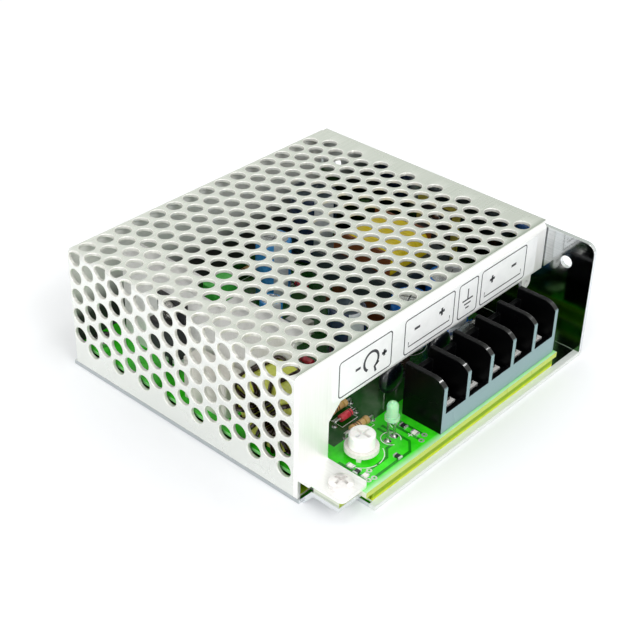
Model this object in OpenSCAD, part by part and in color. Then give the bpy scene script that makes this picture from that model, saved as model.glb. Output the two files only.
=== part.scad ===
// Enclosed dc-dc converter: a folded aluminium chassis and a folded perforated cover
// around a circuit board, with a five-pole barrier terminal block at the front.
// Frame: X to the right seen from the terminal side, front at -Y, Z up,
// origin at the centre of the underside. Millimetres.

/* [Case] */
// Width of the case along the terminals
case_w = 99; // [97:0.5:115]
// Length of the case from the terminal side to the back
case_l = 98; // [96:0.5:115]
// Height of the closed case
case_h = 36; // [35:0.5:45]
// Thickness of the chassis sheet
chassis_t = 1.2; // [1:0.1:1.5]
// Thickness of the cover sheet
cover_t = 1; // [0.8:0.1:1.2]
// Outer radius of the sheet bends
bend_r = 1.4; // [1.3:0.1:2]
// Gap between sheets that lie on or beside each other
fit_gap = 0.1; // [0.05:0.05:0.3]
// Radius of the rounded corners of the side wall
wall_corner_r = 3; // [1:0.5:6]
// Height of the lip at the back of the chassis
lip_h = 6; // [4:0.5:12]
// Set-in of the lip's ends
lip_inset = 2; // [1.5:0.1:4]

/* [Cover] */
// Depth of the open bay in front of the cover
bay_l = 15; // [14.5:0.5:20]
// Height of the front flange
flange_h = 13.7; // [10:0.1:16]
// Width of the corner strip that carries the screw tab
strip_w = 10.5; // [10:0.1:14]
// Size of the gusset between the flange and the strip
gusset = 4; // [2:0.5:6]
// Length of the screw tab in front of the strip
tab_l = 13; // [11:0.5:14]
// Slit between the flange and the side wall
slit = 0.5; // [0.3:0.1:1]
// Width of the small locating lug under the flange
lug_w = 4; // [3:0.5:6]
// Drop of the locating lug below the flange
lug_drop = 1.6; // [1:0.1:3]
// Distance of the locating lug from the flange's right end
lug_from_end = 7; // [5:0.5:12]

/* [Perforation] */
// Diameter of the vent holes
vent_d = 4.4; // [3.5:0.1:4.6]
// Pitch of the vent holes in a row
vent_pitch = 6.04; // [5.6:0.02:7]
// Spacing of the staggered rows
row_pitch = 4.9; // [4.6:0.05:6]
// Centre of the first top hole of every second row from the left face
vent_left = 4.5; // [4.4:0.1:6]
// Least distance of a top hole from the right edge
vent_right = 3.8; // [3.6:0.1:6]
// Centre of the highest side hole from the top
vent_top = 4; // [3.8:0.1:6]
// Centre of the first row from the front flange
vent_front = 4.5; // [4:0.1:8]
// Least distance of a row from the back
vent_back = 3.65; // [3.65:0.05:8]
// Centre of the lowest side hole from the foot of the left wall
vent_foot = 6; // [4:0.5:10]
// Centre of a hole in the bend, from the corner along the sheet
vent_bend = 1.7; // [1.5:0.1:2]
// Lean of a hole in the bend, away from square to the sheet
vent_lean = 20; // [10:1:30]

/* [Fixings] */
// Radius of the screws that hold the cover and the board
screw_r = 1.5; // [1.25:0.05:2]
// Radial clearance of a screw in a plain hole
hole_clear = 0.2; // [0.1:0.05:0.5]
// Radial clearance of a screw in a tapped hole
tap_clear = 0.05; // [0.02:0.01:0.1]
// Head radius of these screws
head_r = 3; // [2.5:0.1:3.5]
// Head height of these screws
head_h = 2; // [1.5:0.1:2.5]
// Spacing of the tapped mounting holes in the base, across
base_mount_x = 80; // [70:1:84]
// Spacing of the tapped mounting holes in the base, along
base_mount_y = 60; // [40:1:62]
// Spacing of the two mounting holes in the side wall
side_mount_y = 82; // [70:1:86]
// Height of the mounting holes in the side wall
side_mount_z = 27; // [20:0.5:29]
// Radius of the mounting holes in the side wall
side_mount_r = 1.75; // [1.6:0.05:2.2]

/* [Board] */
// Height of the board's underside above the standing surface
board_z = 5; // [4.5:0.1:7]
// Thickness of the board
board_t = 1.6; // [1.2:0.1:2]
// Gap between the board and the left wall's outer face
board_left = 1.7; // [1.5:0.1:3]
// Gap between the board and the side wall's outer face
board_right = 12.2; // [11.8:0.1:14]
// Set-back of the board's front edge
board_front = 0.7; // [0.3:0.1:1.5]
// Set-back of the board's rear edge
board_back = 2.4; // [2:0.1:4]
// Thickness of the insulation sheet
sheet_t = 0.3; // [0.2:0.05:0.5]
// Height of the insulation sheet's front lip above the base
sheet_lip = 2.7; // [2:0.1:3]
// Outer radius of the board's standoffs
standoff_r = 2.5; // [2.2:0.1:3]

/* [Terminal block] */
// Number of poles that the block is drawn for
poles = 5; // [5]
// Pitch of the poles
pole_pitch = 9.5; // [8.8:0.1:9.6]
// Thickness of the barriers
barrier_t = 1.4; // [1:0.1:1.8]
// Depth of the block from front to back
block_d = 12.2; // [11.5:0.1:12.4]
// Left end of the block from the case's left face
block_left = 37.1; // [36:0.1:38]
// Front face of the block from the case's front edge
block_front = 1.6; // [1.2:0.1:1.8]
// Height of the bay floors above the board
floor_h = 4.2; // [3.8:0.1:5]
// Height of the front sill above the board
sill_h = 5.6; // [5:0.1:6.5]
// Height of the barriers above the board
barrier_h = 15.6; // [13:0.1:15.6]
// Height of the block's rear wall above the board
rear_wall_h = 12.4; // [8:0.1:13]
// Radius of the curve at the front of each barrier
barrier_curve_r = 5; // [4.5:0.1:6]
// Width of each contact strip
contact_w = 5.9; // [5:0.1:6.4]
// Thickness of each contact strip
contact_t = 0.8; // [0.6:0.1:1]
// Side of each square clamp washer
clamp_w = 6.2; // [5.6:0.1:6.6]
// Thickness of each clamp washer
clamp_t = 0.9; // [0.7:0.1:1.2]
// Radius of the terminal screws
term_screw_r = 1.75; // [1.5:0.05:2]
// Head radius of the terminal screws
term_head_r = 3; // [2.6:0.1:3.2]
// Head height of the terminal screws
term_head_h = 2.2; // [1.8:0.1:2.4]
// Length of the terminal screws under the head
term_screw_l = 5; // [4.6:0.1:5.2]
// Terminal screw centre behind the block's front face
term_screw_y = 6.5; // [6:0.1:7]
// Running clearance round the terminal screws
run_clear = 0.06; // [0.03:0.01:0.1]

/* [Trimmer and lamp] */
// Trimmer centre from the left face and the front edge
trimmer_at = [18.3, 11.1]; // [8:0.1:30]
// Radius of the trimmer's base
trimmer_r = 4.3; // [3.8:0.1:4.8]
// Thickness of the trimmer's base
trimmer_base_t = 1.2; // [1:0.1:2]
// Height of the trimmer's base above the board
trimmer_lift = 1.4; // [1:0.1:3]
// Radius of the turning rotor
rotor_r = 3.3; // [2.8:0.1:3.6]
// Height of the turning rotor
rotor_h = 3.7; // [3:0.1:5]
// Radius of the pivot under the rotor
pivot_r = 1; // [0.8:0.1:1.5]
// Lamp centre from the left face and the front edge
led_at = [27.5, 9.5]; // [6:0.1:34]
// Radius of the lamp's lens
led_r = 1.5; // [1.3:0.1:1.6]
// Height of the lens with its flange
led_h = 5.3; // [5:0.1:6]
// Height of the lens above the board
led_lift = 6.1; // [3:0.1:8]

/* [Power parts] */
// Transformer centre from the right face and the front edge
transformer_at = [26.5, 51]; // [20:0.5:60]
// Length of the ferrite core along X and Y
core_l = 26; // [25:0.5:27]
// Width of the core's centre leg, square in section
core_leg = 7.5; // [6.5:0.1:8]
// Width of each winding window
core_window = 6.3; // [5.8:0.1:6.6]
// Height of the wound coil
coil_h = 20; // [17:0.5:21]
// Height of the coil's underside above the board
coil_lift = 3; // [2.6:0.1:4]
// Output choke centre from the left face and the front edge
choke_at = [7, 28]; // [5:0.1:40]
// Outer radius of the choke's ring core
choke_r = 10.5; // [9:0.1:10.5]
// Inner radius of the ring core
choke_bore_r = 5.8; // [5:0.1:6.5]
// Width of the ring core
choke_w = 7; // [5:0.1:7.2]
// Diameter of the choke's wire
choke_wire = 1.2; // [0.8:0.1:1.2]
// Number of turns on the choke
choke_turns = 18; // [12:1:20]
// Heatsink plate from the left face and the front edge
heatsink_at = [12, 28]; // [10:0.1:40]
// Distance of the heatsink's rear end from the back
heatsink_back = 9.3; // [8:0.1:20]
// Thickness of the heatsink sheet
heatsink_t = 1.2; // [1:0.1:1.3]
// Width of the heatsink's top flanges
heatsink_flange = 6; // [4:0.1:8]
// Length of each top flange
heatsink_flange_l = 24.3; // [15:0.1:26]
// Gap between the heatsink and the cover
heatsink_gap = 1.5; // [1:0.1:3]
// Rectifier centre from the front edge
rectifier_y = 69; // [60:0.5:80]
// Height of the rectifier's body above the board
rectifier_lift = 6; // [5:0.1:8]
// Switching transistor centre from the front edge
transistor_y = 51; // [40:0.5:70]
// Height of the transistor's body above the board
transistor_lift = 5; // [4:0.1:7]
// Thickness of the insulating pad under the transistor
pad_t = 0.3; // [0.2:0.05:0.6]

/* [Small parts] */
// Input capacitors: distances from right and front, radius, height
input_caps = [[37.5, 32, 5, 15.5], [22.5, 30.5, 6.25, 15.8]];
// Front output capacitor: distances from left and front, radius, height
output_cap_front = [42, 37, 5, 19.4];
// Rear output capacitor: distances from right and back, radius, height
output_cap_rear = [20.5, 16, 7, 21.4];
// Front auxiliary capacitor: distances from left and front, radius, height
aux_cap_front = [40, 62, 3.15, 11];
// Rear auxiliary capacitor: distances from left and back, radius, height
aux_cap_rear = [53.5, 24, 5, 19.4];
// Left disc capacitor from left and front
disc_left = [40.5, 20.5]; // [20:0.5:80]
// Right disc capacitor from right and front
disc_right = [39, 20.5]; // [20:0.5:80]
// Radius of the disc capacitors
disc_r = 4.4; // [3.5:0.1:5]
// Thickness of the disc capacitors
disc_t = 3.2; // [2.5:0.1:4]
// Height of the disc capacitors above the board
disc_lift = 1.6; // [1:0.1:3]
// Front resistors: distances from left and front, turn about Z
front_resistors = [[25, 17.5, 0], [26.5, 26, 0], [26, 45, 90], [31, 45, 90]];
// Rear resistors: distances from left and back, turn about Z
rear_resistors = [[56, 10, 0], [44, 10, 0]];
// Resistor body radius and length, spacing of its leads, lead radius
resistor_size = [1.15, 6.2, 10, 0.3];
// Diodes: distances from left and front, turn about Z
diodes = [[25.5, 22.5, 0], [36, 45, 90], [62, 71, 90]];
// Diode body radius and length, spacing of its leads, lead radius
diode_size = [1, 4.2, 8, 0.28];
// Input choke from right and front
drum_at = [48.5, 27]; // [20:0.5:80]
// Fuse from right and front
fuse_at = [26.7, 21.3]; // [20:0.1:80]
// Radius of the fuse's tube
fuse_r = 2.4; // [2:0.1:2.6]
// Length of the fuse
fuse_l = 13; // [10:0.5:14]
// Length of the fuse's end caps
fuse_cap_l = 3; // [2:0.1:4]
// Film capacitor from left and front
film_at = [7.5, 51]; // [5:0.5:80]
// Width, length and height of the film capacitor
film_size = [6, 15, 12]; // [5:0.1:16]
// Moulded green capacitor from left and back
green_at = [38, 19]; // [5:0.5:80]
// Width, depth and height of the green capacitor
green_size = [11, 5, 10]; // [4:0.1:12]
// Height of the green capacitor above the board
green_lift = 1; // [0.5:0.1:2]
// Control circuit from left and front
ic_at = [30, 61]; // [20:0.5:80]
// Optocoupler from left and front
opto_at = [46, 57]; // [20:0.5:80]
// Width of the dual in-line bodies
inline_w = 6.4; // [6:0.1:7]
// Height of the dual in-line bodies
inline_h = 3.3; // [2.8:0.1:4]
// Label thickness
label_t = 0.12; // [0.1:0.01:0.2]
// Label margin to the flange's edges
label_edge = 0.6; // [0.3:0.1:1.5]
// Label's left end from the case's left face
label_left = 11.5; // [11:0.1:15]
// Label's right end from the flange's right end
label_right = 4; // [2:0.1:8]

/* [Hidden] */
$fn = 48;

x_l = -case_w / 2;
x_r = case_w / 2;
y_f = -case_l / 2;
y_b = case_l / 2;
board_top = board_z + board_t;

// Cover planes
flange_y = y_f + bay_l;
cover_back = y_b - chassis_t - fit_gap;
cover_foot = chassis_t + fit_gap;
flange_x1 = x_r - chassis_t - slit;
flange_z0 = case_h - flange_h;
strip_x0 = x_l + 0.2;
strip_x1 = x_l + strip_w;
side_y0 = flange_y + cover_t + 0.2;
tab_y0 = flange_y - tab_l;
tab_corner_r = 1.5;

// Front fixing through tab, board and ear
tab_screw = [x_l + 5.3, tab_y0 + 4.2];
plain_hole_r = screw_r + hole_clear;
tapped_r = screw_r + tap_clear;

// Raised ear of the chassis under the tab
ear_x0 = x_l + cover_t;
ear_x1 = x_l + strip_w - 0.5;
ear_y0 = flange_y - 0.5;
ear_y1 = tab_y0 + 1;
ear_run = 3;
ear_relief = 0.6;

// Board outline
board_x0 = x_l + board_left;
board_x1 = x_r - board_right;
board_y0 = y_f + board_front;
board_y1 = y_b - board_back;
board_notch_w = 6.3;
board_notch_y = tab_y0 + 1.5;
standoffs = [[board_x1 - 3.8, flange_y + 4], [board_x1 - 3.8, board_y1 - 3.6],
    [board_x0 + 4.3, board_y1 - 4.1]];

// Terminal block planes
block_x0 = x_l + block_left;
block_w = poles * pole_pitch + barrier_t;
block_y0 = y_f + block_front;
block_y1 = block_y0 + block_d;
floor_z = board_top + floor_h;
contact_top = floor_z + contact_t;
clamp_top = contact_top + clamp_t;
term_y = block_y0 + term_screw_y;
well_r = term_screw_r + 0.5;
well_floor = 0.8;

// Power parts
wall_in = x_r - chassis_t;
heatsink_x = x_l + heatsink_at[0];
heatsink_y = y_f + heatsink_at[1];
heatsink_l = y_b - heatsink_back - heatsink_y;
heatsink_top = case_h - cover_t - heatsink_gap;
rectifier_z = board_top + rectifier_lift;
transistor_z = board_top + transistor_lift;
power_body = [10, 9.2, 4.5];
power_tab_h = 6.4;
power_tab_t = 1.3;
power_hole_up = 12.4;
panel_t = 0.2;
panel_edge = 0.5;
power_lead = 0.7;
power_lead_pitch = 2.54;
axial_lift = 0.3;

function pole_x(i) = block_x0 + barrier_t / 2 + pole_pitch * (i - 0.5);
function left_front(at) = [x_l + at[0], y_f + at[1]];
function left_back(at) = [x_l + at[0], y_b - at[1]];
function right_front(at) = [x_r - at[0], y_f + at[1]];
function right_back(at) = [x_r - at[0], y_b - at[1]];

// Shared shapes

// Quarter ring of bent sheet, from below the origin to its +X side, along +Y,
// with a flat lap at each end that lies in the sheets that it joins
module sheet_bend(length, t, lap = 0) {
    rotate([90, 0, 0]) translate([0, 0, -length]) linear_extrude(length) {
        intersection() {
            difference() {
                circle(r = bend_r);
                circle(r = bend_r - t);
            }
            translate([0, -bend_r]) square(bend_r);
        }
        if (lap > 0) {
            plate(-lap, -bend_r, 0, t - bend_r);
            plate(bend_r - t, 0, bend_r, lap);
        }
    }
}

// Sheet lying along X and Z, its outline drawn as (x, z), from y to y + t
module upright_xz(y, t) {
    translate([0, y + t, 0]) rotate([90, 0, 0]) linear_extrude(t) children();
}

// Sheet or block lying along Y and Z, its outline drawn as (y, z), from x to x + t
module upright_yz(x, t) {
    translate([x, 0, 0]) rotate([90, 0, 90]) linear_extrude(t) children();
}

// Flat outline between two corners, so that sheets and bends meet on the same planes
module plate(x0, y0, x1, y1) {
    polygon([[x0, y0], [x1, y0], [x1, y1], [x0, y1]]);
}

module rounded_rect(x0, y0, x1, y1, r) {
    translate([x0 + r, y0]) square([x1 - x0 - 2 * r, y1 - y0]);
    translate([x0, y0 + r]) square([x1 - x0, y1 - y0 - 2 * r]);
    for (x = [x0 + r, x1 - r]) for (y = [y0 + r, y1 - r]) translate([x, y]) circle(r = r);
}

// Pan-head screw with a cross recess, head upwards, seat at z = 0
module pan_screw(r, length, hr, hh) {
    dome = 0.4 * hh;
    dome_r = (hr * hr + dome * dome) / (2 * dome);
    recess_w = 0.28 * hr;
    recess_l = 1.25 * hr;
    difference() {
        union() {
            intersection() {
                cylinder(r = hr, h = hh);
                translate([0, 0, hh - dome_r]) sphere(r = dome_r, $fn = 96);
            }
            translate([0, 0, -length]) cylinder(r = r, h = length + hh / 4);
        }
        for (a = [0, 90]) rotate([0, 0, a])
            translate([-recess_l / 2, -recess_w / 2, 0.45 * hh]) cube([recess_l, recess_w, hh]);
    }
}

// Radial can standing on the board: turned foot, crimp groove and a rounded rim
module radial_can(p, r, h) {
    groove = 0.06 * r;
    rim = 0.12 * r;
    translate([p[0], p[1], board_top]) difference() {
        union() {
            cylinder(r = r, h = h - rim);
            translate([0, 0, h - rim]) cylinder(r1 = r, r2 = r - rim, h = rim);
        }
        translate([0, 0, 0.3 * r]) rotate_extrude() translate([r + groove, 0]) circle(r = 2 * groove);
    }
}

// Axial part lying along X on two bent leads
module axial_part(p, turn, r, length, pitch, lead) {
    z = board_top + r + axial_lift;
    translate([p[0], p[1], 0]) rotate([0, 0, turn]) {
        translate([-length / 2, 0, z]) rotate([0, 90, 0]) cylinder(r = r, h = length);
        translate([-pitch / 2, 0, z]) rotate([0, 90, 0]) cylinder(r = lead, h = pitch);
        for (s = [-1, 1]) translate([s * pitch / 2, 0, board_top])
            cylinder(r = lead, h = z - board_top + lead);
    }
}

// Power package seen from its tab: tab on the plane x = 0, body towards -X, leads down
module power_package(lead_l) {
    w = power_body[0];
    h = power_body[1];
    d = power_body[2];
    difference() {
        union() {
            upright_yz(-power_tab_t, power_tab_t) translate([-w / 2, 0]) square([w, h + power_tab_h]);
            upright_yz(-d, d) translate([-w / 2, 0]) square([w, h]);
            upright_yz(-d - panel_t, d) translate([-w / 2 + panel_edge, panel_edge])
                square([w - 2 * panel_edge, h - 2 * panel_edge]);
        }
        translate([-power_tab_t - 1, 0, power_hole_up]) rotate([0, 90, 0])
            cylinder(r = plain_hole_r, h = power_tab_t + 2);
    }
    for (s = [-1, 0, 1])
        translate([-d / 2 - power_lead / 2, s * power_lead_pitch - power_lead / 2, -lead_l])
            cube([power_lead, power_lead, lead_l]);
}

// Vent pattern

row_count = floor((cover_back - vent_back - flange_y - vent_front) / row_pitch) + 1;
column_count = floor((case_w - vent_left - half_step(1) - vent_right) / vent_pitch) + 1;
side_count = floor((case_h - vent_top - cover_foot - vent_foot) / vent_pitch) + 1;
function row_y(r) = flange_y + vent_front + r * row_pitch;
function half_step(odd) = odd * vent_pitch / 2;

module top_vents() {
    for (r = [0:row_count - 1]) for (c = [0:column_count - 1])
        translate([x_l + vent_left + half_step(1 - r % 2) + c * vent_pitch, row_y(r)])
            circle(d = vent_d, $fn = 24);
}

module side_vents() {
    for (r = [0:row_count - 1]) for (c = [0:side_count - 1 - r % 2])
        translate([row_y(r), case_h - vent_top - half_step(r % 2) - c * vent_pitch])
            circle(d = vent_d, $fn = 24);
}

// The rows go on through the bend: one hole nearer the top, the next nearer the side
module bend_vents() {
    depth = 3 * cover_t;
    for (r = [0:row_count - 1]) {
        on_top = r % 2 == 0;
        lean = on_top ? vent_lean : 90 - vent_lean;
        translate([on_top ? x_l + vent_bend : x_l, row_y(r), on_top ? case_h : case_h - vent_bend])
            rotate([0, -lean, 0]) translate([0, 0, -depth]) cylinder(d = vent_d, h = 2 * depth, $fn = 24);
    }
}

// Sheet metal

module base_outline() {
    difference() {
        plate(x_l, y_f, x_r - bend_r, y_b - bend_r);
        translate([x_l - 1, y_f - 1]) square([ear_x1 + ear_relief - x_l + 1, ear_y0 - y_f + 1]);
        for (x = [-1, 1]) for (y = [-1, 1])
            translate([x * base_mount_x / 2, y * base_mount_y / 2]) circle(r = screw_r);
        for (p = standoffs) translate(p) circle(r = screw_r);
    }
}

module side_wall_outline() {
    top = case_h - cover_t - fit_gap;
    difference() {
        union() {
            plate(y_f, bend_r, y_b, top - wall_corner_r);
            plate(y_f + wall_corner_r, bend_r, y_b - wall_corner_r, top);
            for (y = [y_f + wall_corner_r, y_b - wall_corner_r])
                translate([y, top - wall_corner_r]) circle(r = wall_corner_r);
        }
        for (s = [-1, 1]) translate([s * side_mount_y / 2, side_mount_z]) circle(r = side_mount_r);
        translate([y_f + transistor_y, transistor_z + power_hole_up]) circle(r = tapped_r);
    }
}

// Ear section from the base plate up a ramp to the flat that carries the board
module ear_outline() {
    rise = board_z - chassis_t;
    set = chassis_t * tan(atan2(rise, ear_run) / 2);
    polygon([[ear_y0 + 0.5, 0], [ear_y0 + 0.5, chassis_t], [ear_y0, chassis_t], [ear_y0 - ear_run, board_z],
        [ear_y1, board_z], [ear_y1, board_z - chassis_t], [ear_y0 - ear_run - set, board_z - chassis_t],
        [ear_y0 - set, 0]]);
}

module chassis() {
    lip_x0 = x_l + lip_inset;
    lip_x1 = wall_in - lip_inset;
    color("#c9ccd0") {
        linear_extrude(chassis_t) base_outline();
        translate([x_r - bend_r, y_f, bend_r]) sheet_bend(case_l, chassis_t, chassis_t);
        upright_yz(wall_in, chassis_t) side_wall_outline();
        difference() {
            upright_yz(ear_x0, ear_x1 - ear_x0) ear_outline();
            translate([tab_screw[0], tab_screw[1], -1]) cylinder(r = tapped_r, h = board_z + 2);
        }
        translate([lip_x1, y_b - bend_r, bend_r]) rotate([0, 0, 90])
            sheet_bend(lip_x1 - lip_x0, chassis_t, chassis_t);
        upright_xz(y_b - chassis_t, chassis_t)
            plate(lip_x0, bend_r, lip_x1, lip_h);
    }
}

module flange_outline() {
    lug_x = flange_x1 - lug_from_end;
    tab_z = board_top + bend_r;
    difference() {
        union() {
            plate(strip_x0, flange_z0, flange_x1, case_h - bend_r);
            plate(strip_x0, tab_z, strip_x1, flange_z0);
            polygon([[strip_x1, flange_z0], [strip_x1 + gusset, flange_z0], [strip_x1, flange_z0 - gusset]]);
            translate([lug_x - lug_w / 2, flange_z0 - lug_drop]) square([lug_w, lug_drop]);
            translate([lug_x, flange_z0 - lug_drop]) circle(d = lug_w);
        }
        translate([lug_x, flange_z0 - lug_drop]) circle(d = lug_w * 0.4);
    }
}

module cover() {
    top_x0 = x_l + bend_r;
    front_x1 = flange_x1;
    back_x0 = x_l + cover_t + fit_gap;
    back_z = case_h - bend_r;
    tab_bend_y = flange_y + cover_t - bend_r;
    color("#dfe1e4") {
        difference() {
            union() {
                translate([0, 0, case_h - cover_t]) linear_extrude(cover_t) difference() {
                    plate(top_x0, flange_y + bend_r, x_r, cover_back - bend_r);
                    top_vents();
                }
                translate([top_x0, side_y0, back_z]) rotate([0, 180, 0])
                    sheet_bend(cover_back - bend_r - side_y0, cover_t);
                upright_yz(x_l, cover_t) difference() {
                    plate(side_y0, cover_foot, cover_back - bend_r, back_z);
                    side_vents();
                }
            }
            bend_vents();
        }
        translate([front_x1, flange_y + bend_r, back_z]) rotate([0, 0, 90]) rotate([0, 180, 0])
            sheet_bend(front_x1 - top_x0, cover_t);
        upright_xz(flange_y, cover_t) flange_outline();
        translate([strip_x1, tab_bend_y, board_top + bend_r]) rotate([0, 0, 90])
            sheet_bend(strip_x1 - strip_x0, cover_t);
        translate([0, 0, board_top]) linear_extrude(cover_t) difference() {
            union() {
                rounded_rect(ear_x0, tab_y0, strip_x1, tab_bend_y - tab_corner_r, tab_corner_r);
                plate(strip_x0, tab_bend_y - 2 * tab_corner_r, strip_x1, tab_bend_y);
            }
            translate(tab_screw) circle(r = plain_hole_r);
        }
        translate([top_x0, cover_back - bend_r, back_z]) rotate([0, 0, -90]) rotate([0, 180, 0])
            sheet_bend(flange_x1 - top_x0, cover_t);
        upright_xz(cover_back - cover_t, cover_t)
            plate(back_x0, cover_foot, flange_x1, back_z);
    }
}

module cover_screws() {
    color("#d8d8d6") translate([tab_screw[0], tab_screw[1], board_top + cover_t])
        pan_screw(screw_r, board_top + cover_t - board_z + chassis_t, head_r, head_h);
}

module terminal_label() {
    color("white") upright_xz(flange_y - label_t, label_t)
        rounded_rect(x_l + label_left, flange_z0 + label_edge, flange_x1 - label_right,
            case_h - bend_r - label_edge / 2, 1);
}

// Board and insulation

module insulation_sheet() {
    lip_y = y_f + board_front + 1;
    lip_x0 = ear_x1 + ear_relief + 1;
    color("#c8cf62") {
        translate([0, 0, chassis_t]) linear_extrude(sheet_t) difference() {
            plate(x_l + cover_t + 0.5, lip_y, board_x1, board_y1);
            translate([x_l, lip_y - 1]) square([lip_x0 - x_l, ear_y0 - lip_y + 2]);
            for (p = standoffs) translate(p) circle(r = standoff_r + 0.5);
            for (x = [-1, 1]) for (y = [-1, 1])
                translate([x * base_mount_x / 2, y * base_mount_y / 2]) circle(r = 2 * screw_r);
        }
        translate([lip_x0, lip_y, chassis_t]) cube([board_x1 - lip_x0, sheet_t, sheet_lip]);
    }
}

module pcb() {
    color("#2fa84c") translate([0, 0, board_z]) linear_extrude(board_t) difference() {
        translate([board_x0, board_y0]) square([board_x1 - board_x0, board_y1 - board_y0]);
        translate([board_x0 - 1, board_y0 - 1]) square([board_notch_w + 1, board_notch_y - board_y0 + 1]);
        translate(tab_screw) circle(r = plain_hole_r);
        for (p = standoffs) translate(p) circle(r = plain_hole_r);
    }
}

module pcb_standoffs() {
    color("#c0c0c0") for (p = standoffs) translate([p[0], p[1], chassis_t]) difference() {
        cylinder(r = standoff_r, h = board_z - chassis_t);
        translate([0, 0, -1]) cylinder(r = tapped_r, h = board_z + 2);
    }
}

module pcb_screws() {
    color("#d8d8d6") for (p = standoffs) translate([p[0], p[1], board_top])
        pan_screw(screw_r, board_t + 2.5, head_r, head_h);
}

// Terminal block

module barrier_outline() {
    top = board_top + barrier_h;
    curve_y = block_y0 + barrier_curve_r * 0.8;
    translate([curve_y, board_top]) square([block_y1 - curve_y, barrier_h]);
    translate([block_y0, board_top]) square([curve_y - block_y0, barrier_h - barrier_curve_r]);
    intersection() {
        translate([curve_y, top - barrier_curve_r]) circle(r = barrier_curve_r, $fn = 64);
        translate([block_y0, top - barrier_curve_r]) square([curve_y - block_y0, barrier_curve_r]);
    }
}

module terminal_housing() {
    color("#17181a") difference() {
        union() {
            translate([block_x0, block_y0, board_top]) cube([block_w, block_d, floor_h]);
            translate([block_x0, block_y0, board_top]) cube([block_w, barrier_t, sill_h]);
            translate([block_x0, block_y1 - barrier_t, board_top]) cube([block_w, barrier_t, rear_wall_h]);
            for (i = [0:poles]) upright_yz(block_x0 + i * pole_pitch, barrier_t) barrier_outline();
        }
        for (i = [1:poles]) translate([pole_x(i), term_y, board_top + well_floor])
            cylinder(r = well_r, h = floor_h);
    }
}

module terminal_strips() {
    front = block_y0 + 2.4;
    back = block_y1 - barrier_t - fit_gap;
    color("#d9d9d4") for (i = [1:poles]) translate([0, 0, floor_z]) linear_extrude(contact_t) difference() {
        translate([pole_x(i) - contact_w / 2, front]) square([contact_w, back - front]);
        translate([pole_x(i), term_y]) circle(r = term_screw_r + run_clear);
    }
}

module clamp_washer(i) {
    chamfer = clamp_w / 6;
    color("#cfcfc8") translate([pole_x(i), term_y, contact_top]) linear_extrude(clamp_t) difference() {
        translate([-clamp_w / 2, -clamp_w / 2]) square(clamp_w);
        for (a = [0:90:270]) rotate(a) translate([clamp_w / 2, clamp_w / 2]) rotate(45)
            square(chamfer * sqrt(2), center = true);
        circle(r = term_screw_r + run_clear);
    }
}

module terminal_screw(i) {
    color("#d8d8d6") translate([pole_x(i), term_y, clamp_top])
        pan_screw(term_screw_r, term_screw_l, term_head_r, term_head_h);
}

// Trimmer and lamp

module trimmer_body() {
    p = left_front(trimmer_at);
    leg = [0.6, 1.2];
    color("#f2f0ea") translate([p[0], p[1], board_top]) {
        translate([0, 0, trimmer_lift]) cylinder(r = trimmer_r, h = trimmer_base_t);
        translate([0, 0, trimmer_lift]) cylinder(r = pivot_r, h = trimmer_base_t + rotor_h / 2);
        for (a = [90, 210, 330]) rotate([0, 0, a]) translate([trimmer_r - leg[0] * 2, -leg[1] / 2, 0])
            cube([leg[0], leg[1], trimmer_lift + trimmer_base_t / 2]);
    }
}

module trimmer_rotor() {
    p = left_front(trimmer_at);
    edge = 0.4;
    slot = 0.8;
    z = board_top + trimmer_lift + trimmer_base_t + run_clear;
    color("#fbfaf6") translate([p[0], p[1], z]) difference() {
        union() {
            cylinder(r = rotor_r, h = rotor_h - edge);
            translate([0, 0, rotor_h - edge]) cylinder(r1 = rotor_r, r2 = rotor_r - edge, h = edge);
        }
        translate([0, 0, -1]) cylinder(r = pivot_r + run_clear, h = rotor_h / 2 + 1.2);
        for (a = [0, 90]) rotate([0, 0, a])
            translate([-rotor_r * 0.7, -slot / 2, rotor_h - 1]) cube([rotor_r * 1.4, slot, 2]);
    }
}

module led_lens() {
    p = left_front(led_at);
    rim_h = 1;
    color("#9fe0a0") translate([p[0], p[1], board_top + led_lift]) {
        cylinder(r = led_r + 0.4, h = rim_h);
        cylinder(r = led_r, h = led_h - led_r);
        translate([0, 0, led_h - led_r]) sphere(r = led_r);
    }
}

module led_leads() {
    p = left_front(led_at);
    lead = 0.5;
    pitch = 2.54;
    color("#c8c8c0") for (s = [-1, 1])
        translate([p[0] + s * pitch / 2 - lead / 2, p[1] - lead / 2, board_top]) cube([lead, lead, led_lift]);
}

// Transformer: two E cores round a wound bobbin, the coil's axis along X

coil_axis_z = board_top + coil_lift + coil_h / 2;
coil_half = core_leg / 2 + core_window - 0.35;
tube_in = core_leg / 2 + 0.3;
tube_out = tube_in + 0.8;
window_half = core_l / 2 - core_leg / 2;
bobbin_end = window_half - 0.2;
bobbin_t = 0.8;

module at_transformer() {
    p = right_front(transformer_at);
    translate([p[0], p[1], coil_axis_z]) children();
}

module transformer_core() {
    half_y = core_leg + core_window;
    color("#4a4d50") at_transformer() translate([0, 0, -core_leg / 2]) linear_extrude(core_leg)
        difference() {
            square([core_l, 2 * half_y], center = true);
            for (s = [-1, 1]) translate([0, s * (core_leg + core_window) / 2])
                square([2 * window_half, core_window], center = true);
        }
}

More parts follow.
